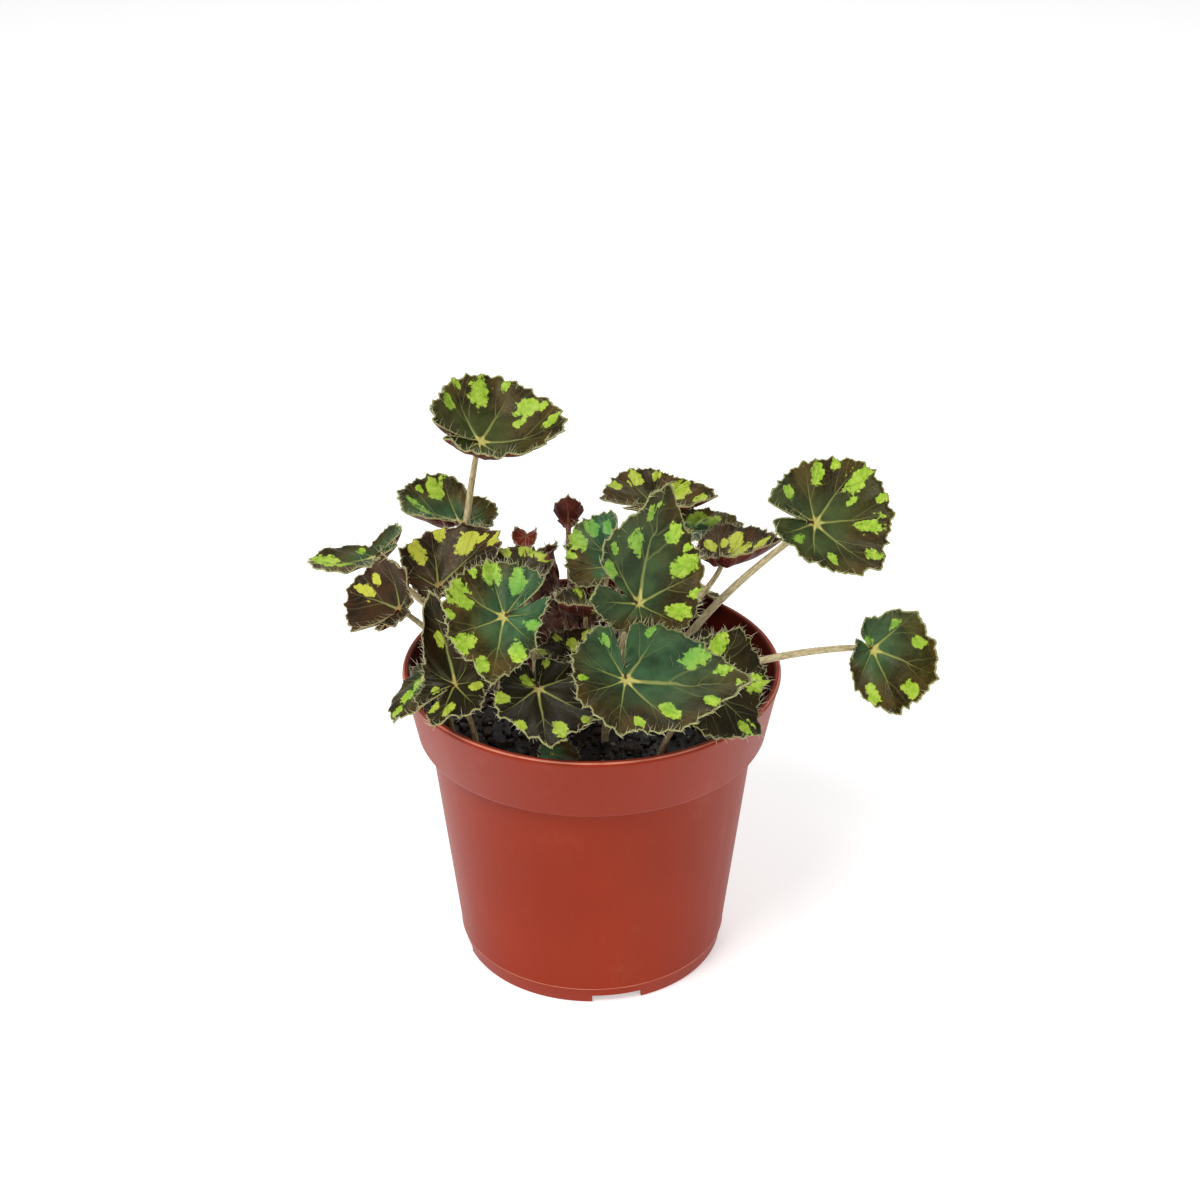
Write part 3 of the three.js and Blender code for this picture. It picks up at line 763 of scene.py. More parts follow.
def makeLashes(name, leaf, at, seed, model, paint, draw):
    # lashes along the margin, leaning out and up from the blade
    out = bladeAxes(leaf)[0]
    vein = np.linspace(-180, 180, hairLook["places"], endpoint=False)
    ones = np.ones(len(vein))
    edge = bladeSurface(leaf, at, seed, vein, ones * 0.995, ones * 0)
    inner = bladeSurface(leaf, at, seed, vein, ones * 0.93, ones * 0)
    lengths = np.linalg.norm(np.roll(edge, -1, 0) - edge, axis=1)
    size = min(1.0, 0.45 + leaf["tip"] / 40)  # small leaves have shorter lashes
    places = []
    run = 0.0
    for i in range(len(vein)):
        run += lengths[i]
        if run < hairLook["step"] * mm * draw.uniform(0.5, 1.5):
            continue
        run = 0.0
        outward = unit(edge[i] - inner[i])
        lean = outward * draw.uniform(0.3, 1.0) + out * draw.uniform(0.1, 0.9)
        lean = unit(lean + draw.normal(0, 0.4, 3))
        curl = out * draw.uniform(-0.2, 1.0) - outward * draw.uniform(0, 1)
        curl = unit(curl + draw.normal(0, 0.5, 3)) * 0.5
        length = draw.uniform(*hairLook["length"]) * mm * size
        thickness = hairLook["thickness"] * mm
        places.append(hairPoints(model, edge[i], lean, curl, length, thickness))
    for _ in range(int(hairLook["inside"] * size)):
        where = np.array([draw.uniform(-180, 180)])
        reach = np.array([draw.uniform(0.86, 0.97)])
        foot = bladeSurface(leaf, at, seed, where, reach, np.zeros(1))[0]
        lean = unit(out + draw.normal(0, 0.5, 3))
        length = draw.uniform(*hairLook["insideLength"]) * mm
        thickness = hairLook["insideThickness"] * mm
        places.append(hairPoints(model, foot, lean, lean * 0.2, length, thickness))
    piece = scatter("lashes_" + name, model, places, paint.material)
    finishPiece(piece, leaf.get("slot", "leaf_blade"))


def paintHair(name, shade):
    paint = Paint(name, 0.45)
    pale = paint.grain(paint.place(), 700, 2)
    darker = tuple(0.55 * v for v in shade)
    paint.feed(Base_Color=paint.mix(pale.step(0.3, 0.7), darker, shade))
    return paint


stalkLook = {
    "sides": 12,
    "steps": 28,
    "foot": 1.5,  # mm, the radius at the foot
    "head": 0.85,  # mm, just below the blade
    "longStalk": 60,  # mm, a shorter stalk is thinner by the square root of its share
    "footDepth": 3.0,  # mm, how far the stalk goes on into the ground
    "rise": 0.35,  # of its length, how far it goes straight up before it leans out
    "approach": 0.15,  # of its length, how far it is square to the blade
    "ridges": 0.05,  # of the radius
    "flare": 0.55,  # of the radius, how much wider it gets under the blade
    "flareLength": 0.035,  # of its length
    "footSlice": 0.6,  # mm, the solid's points this near its lowest are its foot
    "topSlice": 0.05,  # mm, those this near the plane of its far end
    "topWidth": 3,  # mm, and this near its farthest point are its top
}


def stalkPath(name, leaf):
    # the curve of the stalk's solid, carried on into the ground and up to the blade
    out = bladeAxes(leaf)[0]
    top, foot = stalkEnds(name, out)
    end = top + out * bladeLook["stalkGap"] * 1.6 * mm
    span = np.linalg.norm(end - foot)
    rise = foot + np.array([0, 0, stalkLook["rise"] * span])
    approach = end - out * stalkLook["approach"] * span
    t = np.linspace(0, 1, stalkLook["steps"] + 1)[:, None]
    curve = (1 - t) ** 3 * foot + 3 * t * (1 - t) ** 2 * rise + 3 * t**2 * (1 - t) * approach + t**3 * end
    below = curve[:1] - np.array([0, 0, stalkLook["footDepth"] * mm])
    return np.concatenate([below, curve[1:]])


def stalkRadius(share):
    # mm, at this share of the way up
    return stalkLook["foot"] + (stalkLook["head"] - stalkLook["foot"]) * share


def makeStalk(name, leaf, rod, hairModel, paint, hairPaint, draw):
    # the rod bent along the stalk's path, with short hairs all the way up
    path = stalkPath(name, leaf)
    piece = copyAs(rod, "stem_" + name)
    mesh = piece.data
    co = points(mesh)
    steps = np.linalg.norm(np.diff(path, axis=0), axis=1)
    reached = np.concatenate([[0], np.cumsum(steps)])
    length = reached[-1]
    thin = min(1.0, math.sqrt(length / (stalkLook["longStalk"] * mm)))
    index = np.clip(np.round(co[:, 2] * stalkLook["steps"]).astype(int), 0, stalkLook["steps"])
    tangents = np.gradient(path, axis=0)
    tangents /= np.linalg.norm(tangents, axis=1)[:, None]
    side = unit(np.cross(tangents[0], [0.2, 1.0, 0.1]))
    sides = []
    for tangent in tangents:
        side = unit(side - tangent * (side @ tangent))
        sides.append(side)
    sides = np.array(sides)
    others = np.cross(tangents, sides)
    t = index / stalkLook["steps"]
    turn = np.arctan2(co[:, 1], co[:, 0])
    ridge = 1 + stalkLook["ridges"] * (np.sin(3 * turn + 4 * t) + 0.6 * np.sin(5 * turn))
    flare = 1 + stalkLook["flare"] * np.exp(-(((1 - t) / stalkLook["flareLength"]) ** 2))
    radius = stalkRadius(t) * thin * mm * ridge * flare
    ring = sides[index] * (co[:, 0] * radius)[:, None] + others[index] * (co[:, 1] * radius)[:, None]
    movePoints(mesh, path[index] + ring)
    straight = np.column_stack([co[:, 0] * radius, co[:, 1] * radius, reached[index]])
    setAttribute(mesh, "map", "FLOAT_VECTOR", straight / mm)
    mesh.materials.append(paint.material)
    smooth(piece, 50)
    slotName = "young_stalk" if leaf.get("slot") else "leaf_stalk"
    finishPiece(piece, slotName, "stalk_" + name)
    places = []
    for _ in range(int(length / mm / hairLook["stalkEvery"])):
        i = draw.integers(2, stalkLook["steps"] - 1)
        around = draw.uniform(0, 2 * math.pi)
        away = sides[i] * math.cos(around) + others[i] * math.sin(around)
        thick = stalkRadius(i / stalkLook["steps"]) * thin
        foot = path[i] + (path[i + 1] - path[i]) * draw.uniform(0, 1) + away * thick * 0.9 * mm
        lean = unit(away + tangents[i] * draw.uniform(-0.2, 0.7) + draw.normal(0, 0.2, 3))
        size = draw.uniform(*hairLook["stalkLength"]) * mm
        thickness = hairLook["stalkThickness"] * mm
        places.append(hairPoints(hairModel, foot, lean, tangents[i] * 0.3, size, thickness))
    hairs = scatter("down_" + name, hairModel, places, hairPaint.material)
    finishPiece(hairs, slotName)


def paintStalk(name, pale, dark, fleck):
    paint = Paint(name, 0.5)
    where = paint.attribute("map", "Vector")
    drawn = paint.stretch(where, 1.6, 1.6, 0.45)
    streak = paint.grain(drawn, 1.1, 3)
    broad = paint.grain(where, 0.12, 2)
    base = paint.mix(streak.step(0.35, 0.65), pale, dark)
    base = paint.mix(broad.step(0.45, 0.75) * 0.5, base, dark)
    dash = paint.cells(drawn, 0.75).step(0.16, 0.24, 1.0, 0.0)
    base = paint.mix(dash * 0.75, base, fleck)
    paint.feed(Base_Color=base)
    paint.bump(streak * 0.6 + dash * 0.4, 0.45, 0.0003)
    return paint


potLook = {
    # all in mm; the rim's radius and the height come from the frame
    "sides": 160,
    "collarDepth": 22,  # down from the rim
    "collarFoot": 55.5,  # radius at the collar's lower edge
    "bodyTop": 52,  # radius of the body under the collar
    "bodyFoot": 43.5,  # radius of the body at the ledge
    "ledge": 5.5,  # how far up the fine ledge is
    "footRing": 43.1,  # radius of the foot ring
    "footWidth": 2,
    "floor": 3,  # how far the floor's underside is raised
    "pad": 7,  # radius of the pad under the floor's middle
    "wall": 1.2,
    "lip": 2.4,  # thickness of the rounded lip
    "notches": 4,
    "firstNotch": -79,  # degrees round from +X
    "notchLength": 8,
    "notchWidth": 16,
    "notchHeight": 2.7,
    "drains": 6,
    "drainRadius": 4,
    "drainRing": 28,  # radius of the circle that the drain holes are on
}


def potInside(height):
    # radius of the inner wall below the collar, mm
    p = potLook
    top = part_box("pot")[1].z / mm - p["collarDepth"]
    share = (height - p["ledge"]) / (top - p["ledge"])
    return p["bodyFoot"] + (p["bodyTop"] - p["bodyFoot"]) * share - p["wall"]


def potProfile():
    # (radius, height) in mm, from the floor's middle up inside, over the lip and down outside to the pad
    look = potLook
    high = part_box("pot")[1]
    rim, top = high.x / mm, high.z / mm
    collar = top - look["collarDepth"]
    floorTop = look["floor"] + look["wall"]
    half = look["lip"] / 2
    around = [a * degree for a in range(180, -1, -20)]
    lip = [(rim - half + half * math.cos(a), top - half + half * math.sin(a)) for a in around]
    collarFoot, bodyTop, bodyFoot = look["collarFoot"], look["bodyTop"], look["bodyFoot"]
    ledge, ring = look["ledge"], look["footRing"]
    return [
        (potInside(floorTop) - 1, floorTop),
        (potInside(floorTop), floorTop + 1),
        (potInside(collar), collar),
        (collarFoot - look["wall"], collar + 3),
        *lip,
        (rim - 0.1, top - 1.7),  # under the lip
        (rim - 0.45, top - 2.4),
        (collarFoot + 0.35, collar + 1.2),  # the collar's rounded foot
        (collarFoot, collar + 0.5),
        (collarFoot - 0.6, collar),
        (bodyTop + 0.7, collar - 0.25),
        (bodyTop, collar - 0.9),
        (bodyFoot + 0.15, ledge + 0.9),  # the ledge above the foot ring
        (bodyFoot + 0.25, ledge + 0.4),
        (bodyFoot + 0.1, ledge + 0.05),
        (ring, ledge),
        (ring - 0.1, ledge - 0.3),
        (ring - 0.5, 0.6),
        (ring - 0.9, 0),
        (ring - look["footWidth"], 0),
        (ring - look["footWidth"], look["floor"]),
        (look["pad"], look["floor"]),
        (look["pad"], 0),
    ]


def makePot(paint):
    profile = potProfile()
    startRadius, startHeight = profile[0]
    bpy.ops.object.select_all(action="DESELECT")
    bpy.ops.mesh.primitive_circle_add(
        vertices=potLook["sides"],
        radius=startRadius * mm,
        fill_type="NGON",
        location=(0, 0, startHeight * mm),
    )
    pot = added("nursery_pot")
    bpy.ops.object.mode_set(mode="EDIT")
    bpy.ops.mesh.select_mode(type="EDGE")
    bpy.ops.mesh.select_all(action="SELECT")
    bpy.ops.mesh.region_to_loop()
    for (r0, z0), (r1, z1) in zip(profile, profile[1:]):
        bpy.ops.mesh.extrude_edges_move(TRANSFORM_OT_translate={"value": (0, 0, (z1 - z0) * mm)})
        bpy.ops.transform.resize(value=(r1 / r0, r1 / r0, 1), center_override=(0, 0, z1 * mm))
    bpy.ops.mesh.edge_face_add()
    bpy.ops.object.mode_set(mode="OBJECT")
    bpy.ops.object.transform_apply(location=True, rotation=True, scale=True)
    outwardNormals(pot)
    for cutter in notchCutters() + drainCutters():
        applyModifier(pot, "BOOLEAN", operation="DIFFERENCE", object=cutter, solver="EXACT")
        bpy.data.objects.remove(cutter)
    pot.data.materials.append(paint.material)
    markPot(pot)
    smooth(pot, 35)
    finishPiece(pot, "pot_plastic", "pot")


def notchCutters():
    # rounded blocks that cut the notches in the foot ring
    look = potLook
    cutters = []
    for i in range(look["notches"]):
        turn = (look["firstNotch"] + i * 360 / look["notches"]) * degree
        ring = look["footRing"] * mm
        place = (math.cos(turn) * ring, math.sin(turn) * ring, 0)
        bpy.ops.mesh.primitive_cube_add(size=1, location=place, rotation=(0, 0, turn))
        cutter = added("notchCutter")
        cutter.scale = (look["notchLength"] * mm, look["notchWidth"] * mm, 2 * look["notchHeight"] * mm)
        applyModifier(cutter, "BEVEL", width=0.5 * mm, segments=2)
        cutters.append(cutter)
    return cutters


def drainCutters():
    # cylinders that cut the drain holes in the floor
    look = potLook
    cutters = []
    for i in range(look["drains"]):
        turn = i * 360 / look["drains"] * degree
        ring = look["drainRing"] * mm
        place = (math.cos(turn) * ring, math.sin(turn) * ring, look["floor"] * mm)
        radius = look["drainRadius"] * mm
        depth = 3 * look["drainRadius"] * mm
        bpy.ops.mesh.primitive_cylinder_add(vertices=32, radius=radius, depth=depth, location=place)
        cutters.append(added("drainCutter"))
    return cutters


def markPot(pot):
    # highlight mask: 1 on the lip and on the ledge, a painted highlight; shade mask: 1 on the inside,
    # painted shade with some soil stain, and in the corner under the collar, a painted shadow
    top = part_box("pot")[1].z / mm
    collar = top - potLook["collarDepth"]
    co = points(pot.data) / mm
    normals = np.array([v.normal for v in pot.data.vertices])
    radius = np.hypot(co[:, 0], co[:, 1])
    outward = (normals[:, 0] * co[:, 0] + normals[:, 1] * co[:, 1]) / np.maximum(radius, 1e-6)
    # the lip's top and the ledge get a painted highlight
    crest = (co[:, 2] > top - 0.75) & (outward > 0.25)
    ledge = (np.abs(co[:, 2] - potLook["ledge"] - 0.4) < 0.2) & (outward > 0)
    # the inner wall: painted shade, as under the leaves, with some soil stain
    inside = (outward < -0.3) & (co[:, 2] > potLook["floor"]) & (radius > potLook["drainRing"])
    # the corner under the collar's overhang: a painted shadow
    corner = (np.abs(co[:, 2] - collar) < 0.4) & (radius < potLook["collarFoot"] - 0.5) & (outward > -0.5)
    setAttribute(pot.data, "paintedHighlight", "FLOAT", (crest | ledge).astype(float))
    setAttribute(pot.data, "shadeAndSoil", "FLOAT", (inside | corner).astype(float))


def paintPot():
    paint = Paint("terracottaPlastic", 0.42, Specular_IOR_Level=0.22, Specular_Tint=(1.0, 0.72, 0.6, 1.0))
    place = paint.place()
    broad = paint.grain(place, 14, 2)
    fine = paint.grain(place, 1400, 3)
    drawn = paint.grain(paint.stretch(place, 1.0, 1.0, 0.06), 120, 3)
    base = paint.mix(broad.step(0.3, 0.7), tint(140, 40, 17), tint(152, 47, 23))
    base = paint.mix(drawn.step(0.4, 0.75) * 0.2, base, tint(134, 56, 38))
    dust = paint.grain(place, 60, 5, 0.7).step(0.55, 0.8)
    base = paint.mix(dust * 0.12, base, tint(186, 120, 96))
    base = paint.mix(fine.step(0.62, 0.75) * 0.18, base, tint(186, 100, 76))
    # painted shade on the inner wall, with some soil stain, and a painted shadow under the collar
    shadeAndSoil = paint.attribute("shadeAndSoil")
    base = paint.mix(shadeAndSoil * (0.6 + broad * 0.4), base, tint(54, 18, 12))
    # a painted highlight along the lip and the ledge
    paintedHighlight = paint.attribute("paintedHighlight").step(0.55, 0.95)
    base = paint.mix(paintedHighlight * drawn.step(0.2, 0.6, 0.35, 0.9), base, tint(224, 140, 114))
    paint.feed(Base_Color=base, Roughness=(broad + drawn * 0.5).step(0.4, 1.1, 0.34, 0.5))
    paint.bump(fine * 0.5 + drawn * 0.5, 0.18, 0.0002)
    return paint


soilLook = {
    "edge": 86.0,  # mm, height at the wall
    "crown": 90.2,  # mm, height in the middle
    "reach": 54,  # mm, radius where the mound ends
    "bumps": ((9, 1.1, 2.1), (3, 0.8, 5.7), (1.2, 0.45, 9.3)),  # mm across, mm high, and where in the noise
    "columns": 128,
    "rings": 44,
    "crumbs": 1500,
    "crumbSize": (0.3, 0.95),  # mm, radius
    "lumps": 320,
    "lumpSize": (0.9, 2.3),
    "bits": 130,  # pale bits of perlite
    "bitSize": (0.35, 1.1),
    "fibres": 150,
    "fibreLength": (1.5, 5),  # mm
    "fibreThickness": 0.14,
    "seed": 11,
}


def soilHeight(x, y):
    # mm, for a place on the soil in mm
    share = math.hypot(x, y) / soilLook["reach"]
    height = soilLook["edge"] + (soilLook["crown"] - soilLook["edge"]) * max(0.0, 1 - share**2)
    for across, high, level in soilLook["bumps"]:
        height += noise.noise(Vector((x / across, y / across, level))) * high
    return height


def makeSoil(paint):
    # a disc for the top and two rings below it, at the collar's foot and on the floor
    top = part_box("pot")[1].z / mm
    collar = top - potLook["collarDepth"]
    edge = potInside(collar) + 2.5  # the wall leans out above the collar's foot
    soil = makeDisc("potting_soil", soilLook["columns"], soilLook["rings"])
    useOnly(soil)
    bpy.ops.object.mode_set(mode="EDIT")
    bpy.ops.mesh.select_mode(type="EDGE")
    bpy.ops.mesh.select_all(action="SELECT")
    bpy.ops.mesh.region_to_loop()
    bpy.ops.mesh.extrude_edges_move(TRANSFORM_OT_translate={"value": (0, 0, -1)})
    bpy.ops.mesh.extrude_edges_move(TRANSFORM_OT_translate={"value": (0, 0, -1)})
    bpy.ops.mesh.edge_face_add()
    bpy.ops.object.mode_set(mode="OBJECT")
    co = points(soil.data)
    gap = 0.3  # mm, between the soil and the pot
    floorTop = potLook["floor"] + potLook["wall"] + gap
    placed = []
    for x, y, z in co:
        if z > -0.5:
            ring, height = edge, soilHeight(x * edge, y * edge)
        elif z > -1.5:
            ring, height = potInside(collar) - gap, collar - 1
        else:
            ring, height = potInside(floorTop) - gap, floorTop
        placed.append((x * ring, y * ring, height))
    movePoints(soil.data, np.array(placed) * mm)
    outwardNormals(soil)
    soil.data.materials.append(paint.material)
    smooth(soil, 60)
    finishPiece(soil, "potting_mix", "soil")
    return edge


def lumpModel(name, detail, draw):
    # an uneven ball of radius 1
    bpy.ops.object.select_all(action="DESELECT")
    bpy.ops.mesh.primitive_ico_sphere_add(subdivisions=detail, radius=1)
    model = added(name)
    bpy.ops.object.mode_set(mode="EDIT")
    bpy.ops.mesh.select_all(action="SELECT")
    bpy.ops.transform.vertex_random(offset=0.35, seed=int(draw.integers(1, 999)))
    bpy.ops.object.mode_set(mode="OBJECT")
    return model


def turnedAtRandom(co, draw):
    w, x, y, z = unit(draw.normal(0, 1, 4))
    matrix = np.array([
        [1 - 2 * (y * y + z * z), 2 * (x * y - z * w), 2 * (x * z + y * w)],
        [2 * (x * y + z * w), 1 - 2 * (x * x + z * z), 2 * (y * z - x * w)],
        [2 * (x * z - y * w), 2 * (y * z + x * w), 1 - 2 * (x * x + y * y)],
    ])
    return co @ matrix.T


def strew(name, model, count, sizes, edge, paint, draw, flatten=0.7, rise=0.25):
    # copies of a lump lying about on the soil
    base = points(model.data)
    places = []
    for _ in range(count):
        size = draw.uniform(*sizes)
        reach = (edge - size - 0.6) * math.sqrt(draw.uniform(0, 1))
        turn = draw.uniform(0, 2 * math.pi)
        x, y = reach * math.cos(turn), reach * math.sin(turn)
        shape = turnedAtRandom(base * [1, draw.uniform(0.6, 1), draw.uniform(0.5, 0.9)], draw)
        shape = shape * [size, size, size * flatten]
        places.append((shape + [x, y, soilHeight(x, y) + size * rise]) * mm)
    piece = scatter(name, model, places, paint.material)
    smooth(piece, 40)
    finishPiece(piece, "potting_mix")


def strewFibres(model, edge, paint, draw):
    # thin root ends and peat threads lying on the soil
    places = []
    for _ in range(soilLook["fibres"]):
        reach = (edge - 4) * math.sqrt(draw.uniform(0, 1))
        turn = draw.uniform(0, 2 * math.pi)
        x, y = reach * math.cos(turn), reach * math.sin(turn)
        foot = np.array([x, y, soilHeight(x, y) + 0.5]) * mm
        lean = unit(np.array([draw.normal(), draw.normal(), draw.uniform(-0.1, 0.35)]))
        curl = draw.normal(0, 0.4, 3) * [1, 1, 0.3]
        length = draw.uniform(*soilLook["fibreLength"]) * mm
        places.append(hairPoints(model, foot, lean, curl, length, soilLook["fibreThickness"] * mm))
    finishPiece(scatter("soil_fibres", model, places, paint.material), "potting_mix")


def paintSoil(name, dark, light, lift):
    paint = Paint(name, 0.6, Specular_IOR_Level=0.6)
    place = paint.place()
    coarse = paint.grain(place, 260, 4)
    fine = paint.grain(place, 1600, 4)
    base = paint.mix(coarse.step(0.4, 0.7), dark, light)
    base = paint.mix(fine.step(0.55, 0.7) * lift, base, tint(92, 80, 66))
    paint.feed(Base_Color=base, Roughness=coarse.step(0.3, 0.7, 0.3, 0.8))
    paint.bump(coarse * 0.7 + fine * 0.4, 0.9, 0.0008)
    return paint


rhizomeLook = {
    "limbs": [  # radius, length, lean, bearing, middle, in mm and degrees
        (6, 44, 88, 8, (-4, 4, 91)),
        (4.5, 32, 12, 150, (-12, 10, 108)),
        (5, 28, 10, 160, (-2, 1, 104)),
    ],
    "shares": (0.2, 0.4, 0.4),  # of the scales and hairs, for each limb
    "scales": 150,
    "scaleLength": (5, 11),  # mm
    "hairs": 2600,
    "hairLength": (1.2, 3.4),
    "hairThickness": 0.06,
    "bare": 89,  # mm up, nothing stands below this
    "grain": 0.75,  # mm, size of the faces of the bark
    "bumps": ((300, 0.6), (900, 0.3)),  # to a metre, and mm high
    "seed": 23,
}


def limbAxes(lean, turn):
    # along the limb, and two directions square to it
    axis = np.array([
        math.sin(lean * degree) * math.cos(turn * degree),
        math.sin(lean * degree) * math.sin(turn * degree),
        math.cos(lean * degree),
    ])
    side = unit(np.cross(axis, [0.1, 0.9, 0.2]))
    return axis, side, np.cross(axis, side)


def makeRhizome(paint):
    # round-ended limbs melted into one
    limbs = []
    for radius, length, lean, turn, middle in rhizomeLook["limbs"]:
        bpy.ops.object.select_all(action="DESELECT")
        bpy.ops.mesh.primitive_uv_sphere_add(segments=24, ring_count=16, radius=radius * mm * 0.97)
        limb = added("limb")
        co = points(limb.data)
        co[:, 2] += np.sign(co[:, 2]) * length / 2 * mm * (np.abs(co[:, 2]) > 1e-6)
        axis, side, other = limbAxes(lean, turn)
        placed = co[:, :1] * side + co[:, 1:2] * other + co[:, 2:] * axis + np.array(middle) * mm
        movePoints(limb.data, placed)
        limbs.append(limb)
    bpy.ops.object.select_all(action="DESELECT")
    for limb in limbs:
        limb.select_set(True)
    bpy.context.view_layer.objects.active = limbs[0]
    bpy.ops.object.join()
    rhizome = added("creeping_stem")
    applyModifier(rhizome, "REMESH", mode="VOXEL", voxel_size=rhizomeLook["grain"] * mm)
    applyModifier(rhizome, "SMOOTH", factor=0.6, iterations=4)
    co = points(rhizome.data)
    normals = np.array([v.normal for v in rhizome.data.vertices])
    bumps = rhizomeLook["bumps"]
    heights = [sum(noise.noise(Vector(p) * often) * high for often, high in bumps) for p in co.tolist()]
    movePoints(rhizome.data, co + normals * np.array(heights)[:, None] * mm)
    rhizome.data.materials.append(paint.material)
    smooth(rhizome)
    finishPiece(rhizome, "rhizome_bark", "rhizome")


def makeScaleModel():
    # one papery scale: a pointed, hollow sliver 1 long, along Z
    bpy.ops.object.select_all(action="DESELECT")
    bpy.ops.mesh.primitive_grid_add(x_subdivisions=4, y_subdivisions=6, size=1)
    model = added("scaleModel")
    co = points(model.data)
    along = co[:, 1] + 0.5
    half = 0.26 * np.sin(math.pi * np.clip(along * 0.78 + 0.22, 0, 1)) ** 0.8 * (1 - along**3 * 0.9)
    x = co[:, 0] * 2 * half
    hollow = 1.6 * x**2 + 0.22 * along**2
    movePoints(model.data, np.column_stack([x, -hollow, along]))
    applyModifier(model, "SOLIDIFY", thickness=0.03, offset=0)
    return model


def dressRhizome(scaleModel, hairModel, scalePaint, hairPaint, draw):
    # papery scales and matted hairs all over the parts above the soil
    base = points(scaleModel.data)
    scales = []
    hairs = []
    look = rhizomeLook
    up = np.array([0.0, 0.0, 1.0])
    for i in range(look["scales"] + look["hairs"]):
        chosen = draw.choice(len(look["limbs"]), p=look["shares"])
        radius, length, lean, turn, middle = look["limbs"][chosen]
        axis, side, other = limbAxes(lean, turn)
        around = draw.uniform(0, 2 * math.pi)
        away = side * math.cos(around) + other * math.sin(around)
        along = draw.uniform(-0.5, 0.62) * length
        spot = np.array(middle) + axis * along + away * radius * (0.9 if along < length / 2 else 0.5)
        underneath = away[2] < -0.25 and lean > 60
        if spot[2] < look["bare"] or underneath:
            continue
        if i < look["scales"]:
            size = draw.uniform(*look["scaleLength"])
            z = unit(up * 0.9 + away * draw.uniform(0.2, 0.8) + axis * 0.3 + draw.normal(0, 0.25, 3))
            y = unit(away - z * (away @ z))
            x = np.cross(y, z)
            scales.append((spot + (base[:, :1] * x + base[:, 1:2] * y + base[:, 2:] * z) * size) * mm)
        else:
            leanOut = unit(away + up * draw.uniform(-0.2, 1.0) + draw.normal(0, 0.4, 3))
            curl = draw.normal(0, 0.5, 3)
            size = draw.uniform(*look["hairLength"]) * mm
            thickness = look["hairThickness"] * mm
            hairs.append(hairPoints(hairModel, spot * mm, leanOut, curl, size, thickness))
    piece = scatter("crown_scales", scaleModel, scales, scalePaint.material)
    smooth(piece, 60)
    finishPiece(piece, "rhizome_bark")
    finishPiece(scatter("crown_hairs", hairModel, hairs, hairPaint.material), "rhizome_bark")


def paintBark():
    paint = Paint("crownBark", 0.75)
    place = paint.place()
    patch = paint.grain(place, 220, 4)
    fine = paint.grain(place, 1100, 4)
    base = paint.mix(patch.step(0.35, 0.65), tint(62, 34, 26), tint(112, 78, 60))
    base = paint.mix(fine.step(0.5, 0.7) * 0.5, base, tint(140, 108, 86))
    paint.feed(Base_Color=base)
    paint.bump(patch * 0.6 + fine * 0.6, 0.9, 0.0008)
    return paint


def paintScale():
    paint = Paint("paperyScale", 0.6)
    place = paint.place()
    patch = paint.grain(place, 130, 3)
    streak = paint.grain(paint.stretch(place, 1, 1, 0.2), 900, 3)
    base = paint.mix(patch.step(0.38, 0.6), tint(70, 24, 20), tint(124, 76, 58))
    base = paint.mix(streak.step(0.5, 0.7) * 0.5, base, tint(170, 132, 104))
    paint.feed(Base_Color=base)
    paint.bump(streak, 0.5, 0.0003)
    return paint


disc = makeDisc("discModel", bladeLook["columns"], bladeLook["rings"])
smallDisc = makeDisc("smallDiscModel", bladeLook["smallColumns"], bladeLook["smallRings"])
rod = makeRod("rodModel", stalkLook["sides"], stalkLook["steps"])
hairModel = makeRod("hairModel", 3, 4)
scaleModel = makeScaleModel()
print("models ready")

potPaint = paintPot()
makePot(potPaint)
print("pot made")

draw = np.random.default_rng(soilLook["seed"])
soilPaint = paintSoil("pottingSoil", tint(9, 7, 4), tint(38, 29, 20), 0.35)
crumbPaint = paintSoil("soilCrumb", tint(13, 10, 6), tint(78, 60, 42), 0.6)
greyPaint = paintSoil("perliteBit", tint(96, 92, 86), tint(190, 188, 180), 0.2)
fibrePaint = paintSoil("soilFibre", tint(52, 38, 26), tint(104, 84, 62), 0.4)
soilEdge = makeSoil(soilPaint)
lump = lumpModel("lumpModel", 2, draw)
crumb = lumpModel("crumbModel", 1, draw)
strew("soil_lumps", lump, soilLook["lumps"], soilLook["lumpSize"], soilEdge, crumbPaint, draw)
strew("soil_crumbs", crumb, soilLook["crumbs"], soilLook["crumbSize"], soilEdge, crumbPaint, draw)
strew("soil_bits", crumb, soilLook["bits"], soilLook["bitSize"], soilEdge, greyPaint, draw, 0.8, 0.5)
strewFibres(hairModel, soilEdge, fibrePaint, draw)
print("soil made")

upperPaint = paintBladeTop()
underPaint = paintBladeUnder()
lashPaint = paintHair("paleLash", tint(238, 230, 190))
downPaint = paintHair("stalkDown", tint(190, 172, 132))
brownHairPaint = paintHair("crownHair", tint(186, 160, 134))
stalkPaint = paintStalk("paleStalk", tint(216, 202, 156), tint(176, 158, 112), tint(134, 88, 60))
youngStalkPaint = paintStalk("redStalk", tint(150, 92, 70), tint(104, 50, 40), tint(70, 26, 22))
draw = np.random.default_rng(rhizomeLook["seed"])
makeRhizome(paintBark())
dressRhizome(scaleModel, hairModel, paintScale(), brownHairPaint, draw)
print("crown made")

for number, (name, leaf) in enumerate(leaves.items()):
    seed = 1.7 * number + 0.6  # so that no two margins wave alike
    draw = np.random.default_rng(100 + number)
    model = smallDisc if leaf["tip"] < bladeLook["smallTip"] else disc
    at = makeBlade(name, leaf, seed, model, (upperPaint, underPaint))
    makeLashes(name, leaf, at, seed, hairModel, lashPaint, draw)
    young = "slot" in leaf
    makeStalk(name, leaf, rod, hairModel, youngStalkPaint if young else stalkPaint, downPaint, draw)
print("leaves made")

for model in (disc, smallDisc, rod, hairModel, scaleModel, lump, crumb):
    bpy.data.objects.remove(model)


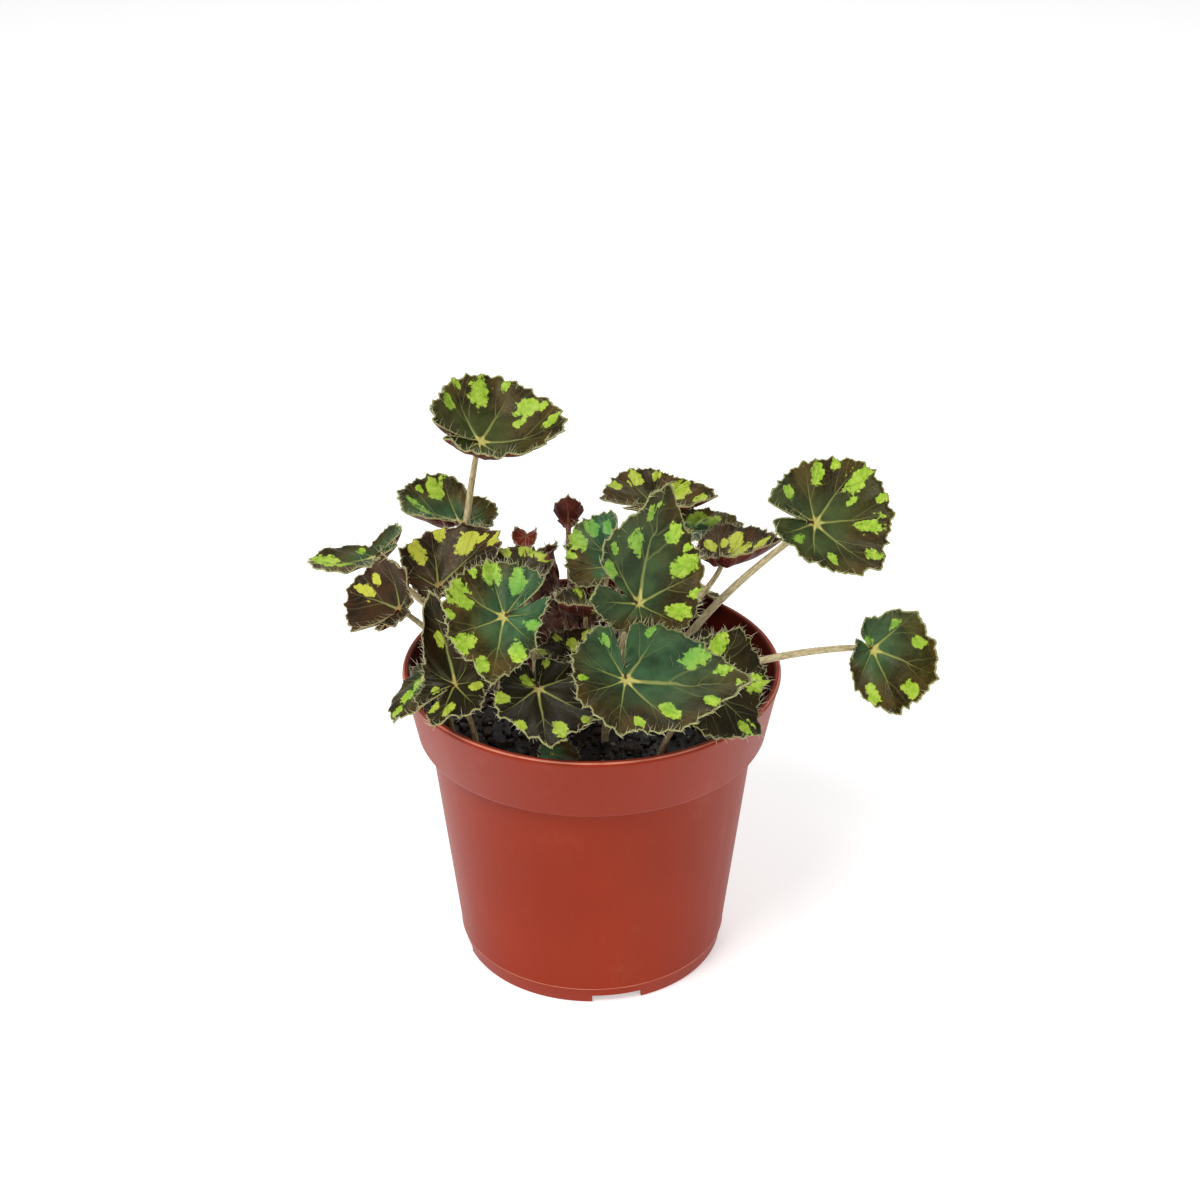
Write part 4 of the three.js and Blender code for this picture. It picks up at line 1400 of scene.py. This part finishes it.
stageLook = {
    "floor": 8.0,  # metres square
    "camera": (0.0026, -0.6352, 0.4605),
    "tilt": 62.07,  # degrees up from straight down
    "lens": 69,  # mm
    "floorGlow": 0.45,
    "world": 0.38,  # strength of the white all round
    "lamps": {  # size in metres, power in watts, place
        "keyLamp": (0.6, 11, (-0.5, -0.65, 1.25)),
        "leftLamp": (0.35, 1.5, (-0.85, -0.75, 0.3)),
        "rightLamp": (0.35, 1.3, (0.8, -0.8, 0.4)),
        "backLamp": (0.7, 4, (0.1, 0.9, 1.1)),
    },
    "aim": (0, 0, 0.1),  # where the lamps point
}

bpy.ops.object.select_all(action="DESELECT")
bpy.ops.mesh.primitive_plane_add(size=stageLook["floor"], location=(0, 1.5, 0))
floor = added("floor")
floorPaint = Paint("paleFloor", 0.9)
floorPaint.feed(
    Base_Color=(0.9, 0.9, 0.9, 1),
    Emission_Color=(1, 1, 1, 1),
    Emission_Strength=stageLook["floorGlow"],
)
floor.data.materials.append(floorPaint.material)


def addLamp(name, size, power, place):
    lamp = bpy.data.lights.new(name, "AREA")
    lamp.size = size
    lamp.energy = power
    holder = bpy.data.objects.new(name, lamp)
    bpy.context.scene.collection.objects.link(holder)
    holder.location = place
    towards = Vector(stageLook["aim"]) - Vector(place)
    holder.rotation_euler = towards.to_track_quat("-Z", "Y").to_euler()


for name, (size, power, place) in stageLook["lamps"].items():
    addLamp(name, size, power, place)
world = bpy.data.worlds.new("studio")
world.use_nodes = True
background = world.node_tree.nodes["Background"]
background.inputs["Color"].default_value = (1, 1, 1, 1)
background.inputs["Strength"].default_value = stageLook["world"]
bpy.context.scene.world = world
bpy.context.scene.view_settings.view_transform = "Standard"

lens = bpy.data.cameras.new("camera")
lens.lens = stageLook["lens"]
lens.clip_start, lens.clip_end = 0.01, 20
camera = bpy.data.objects.new("camera", lens)
bpy.context.scene.collection.objects.link(camera)
camera.location = stageLook["camera"]
camera.rotation_euler = (stageLook["tilt"] * degree, 0, 0)
bpy.context.scene.camera = camera
print("stage set")
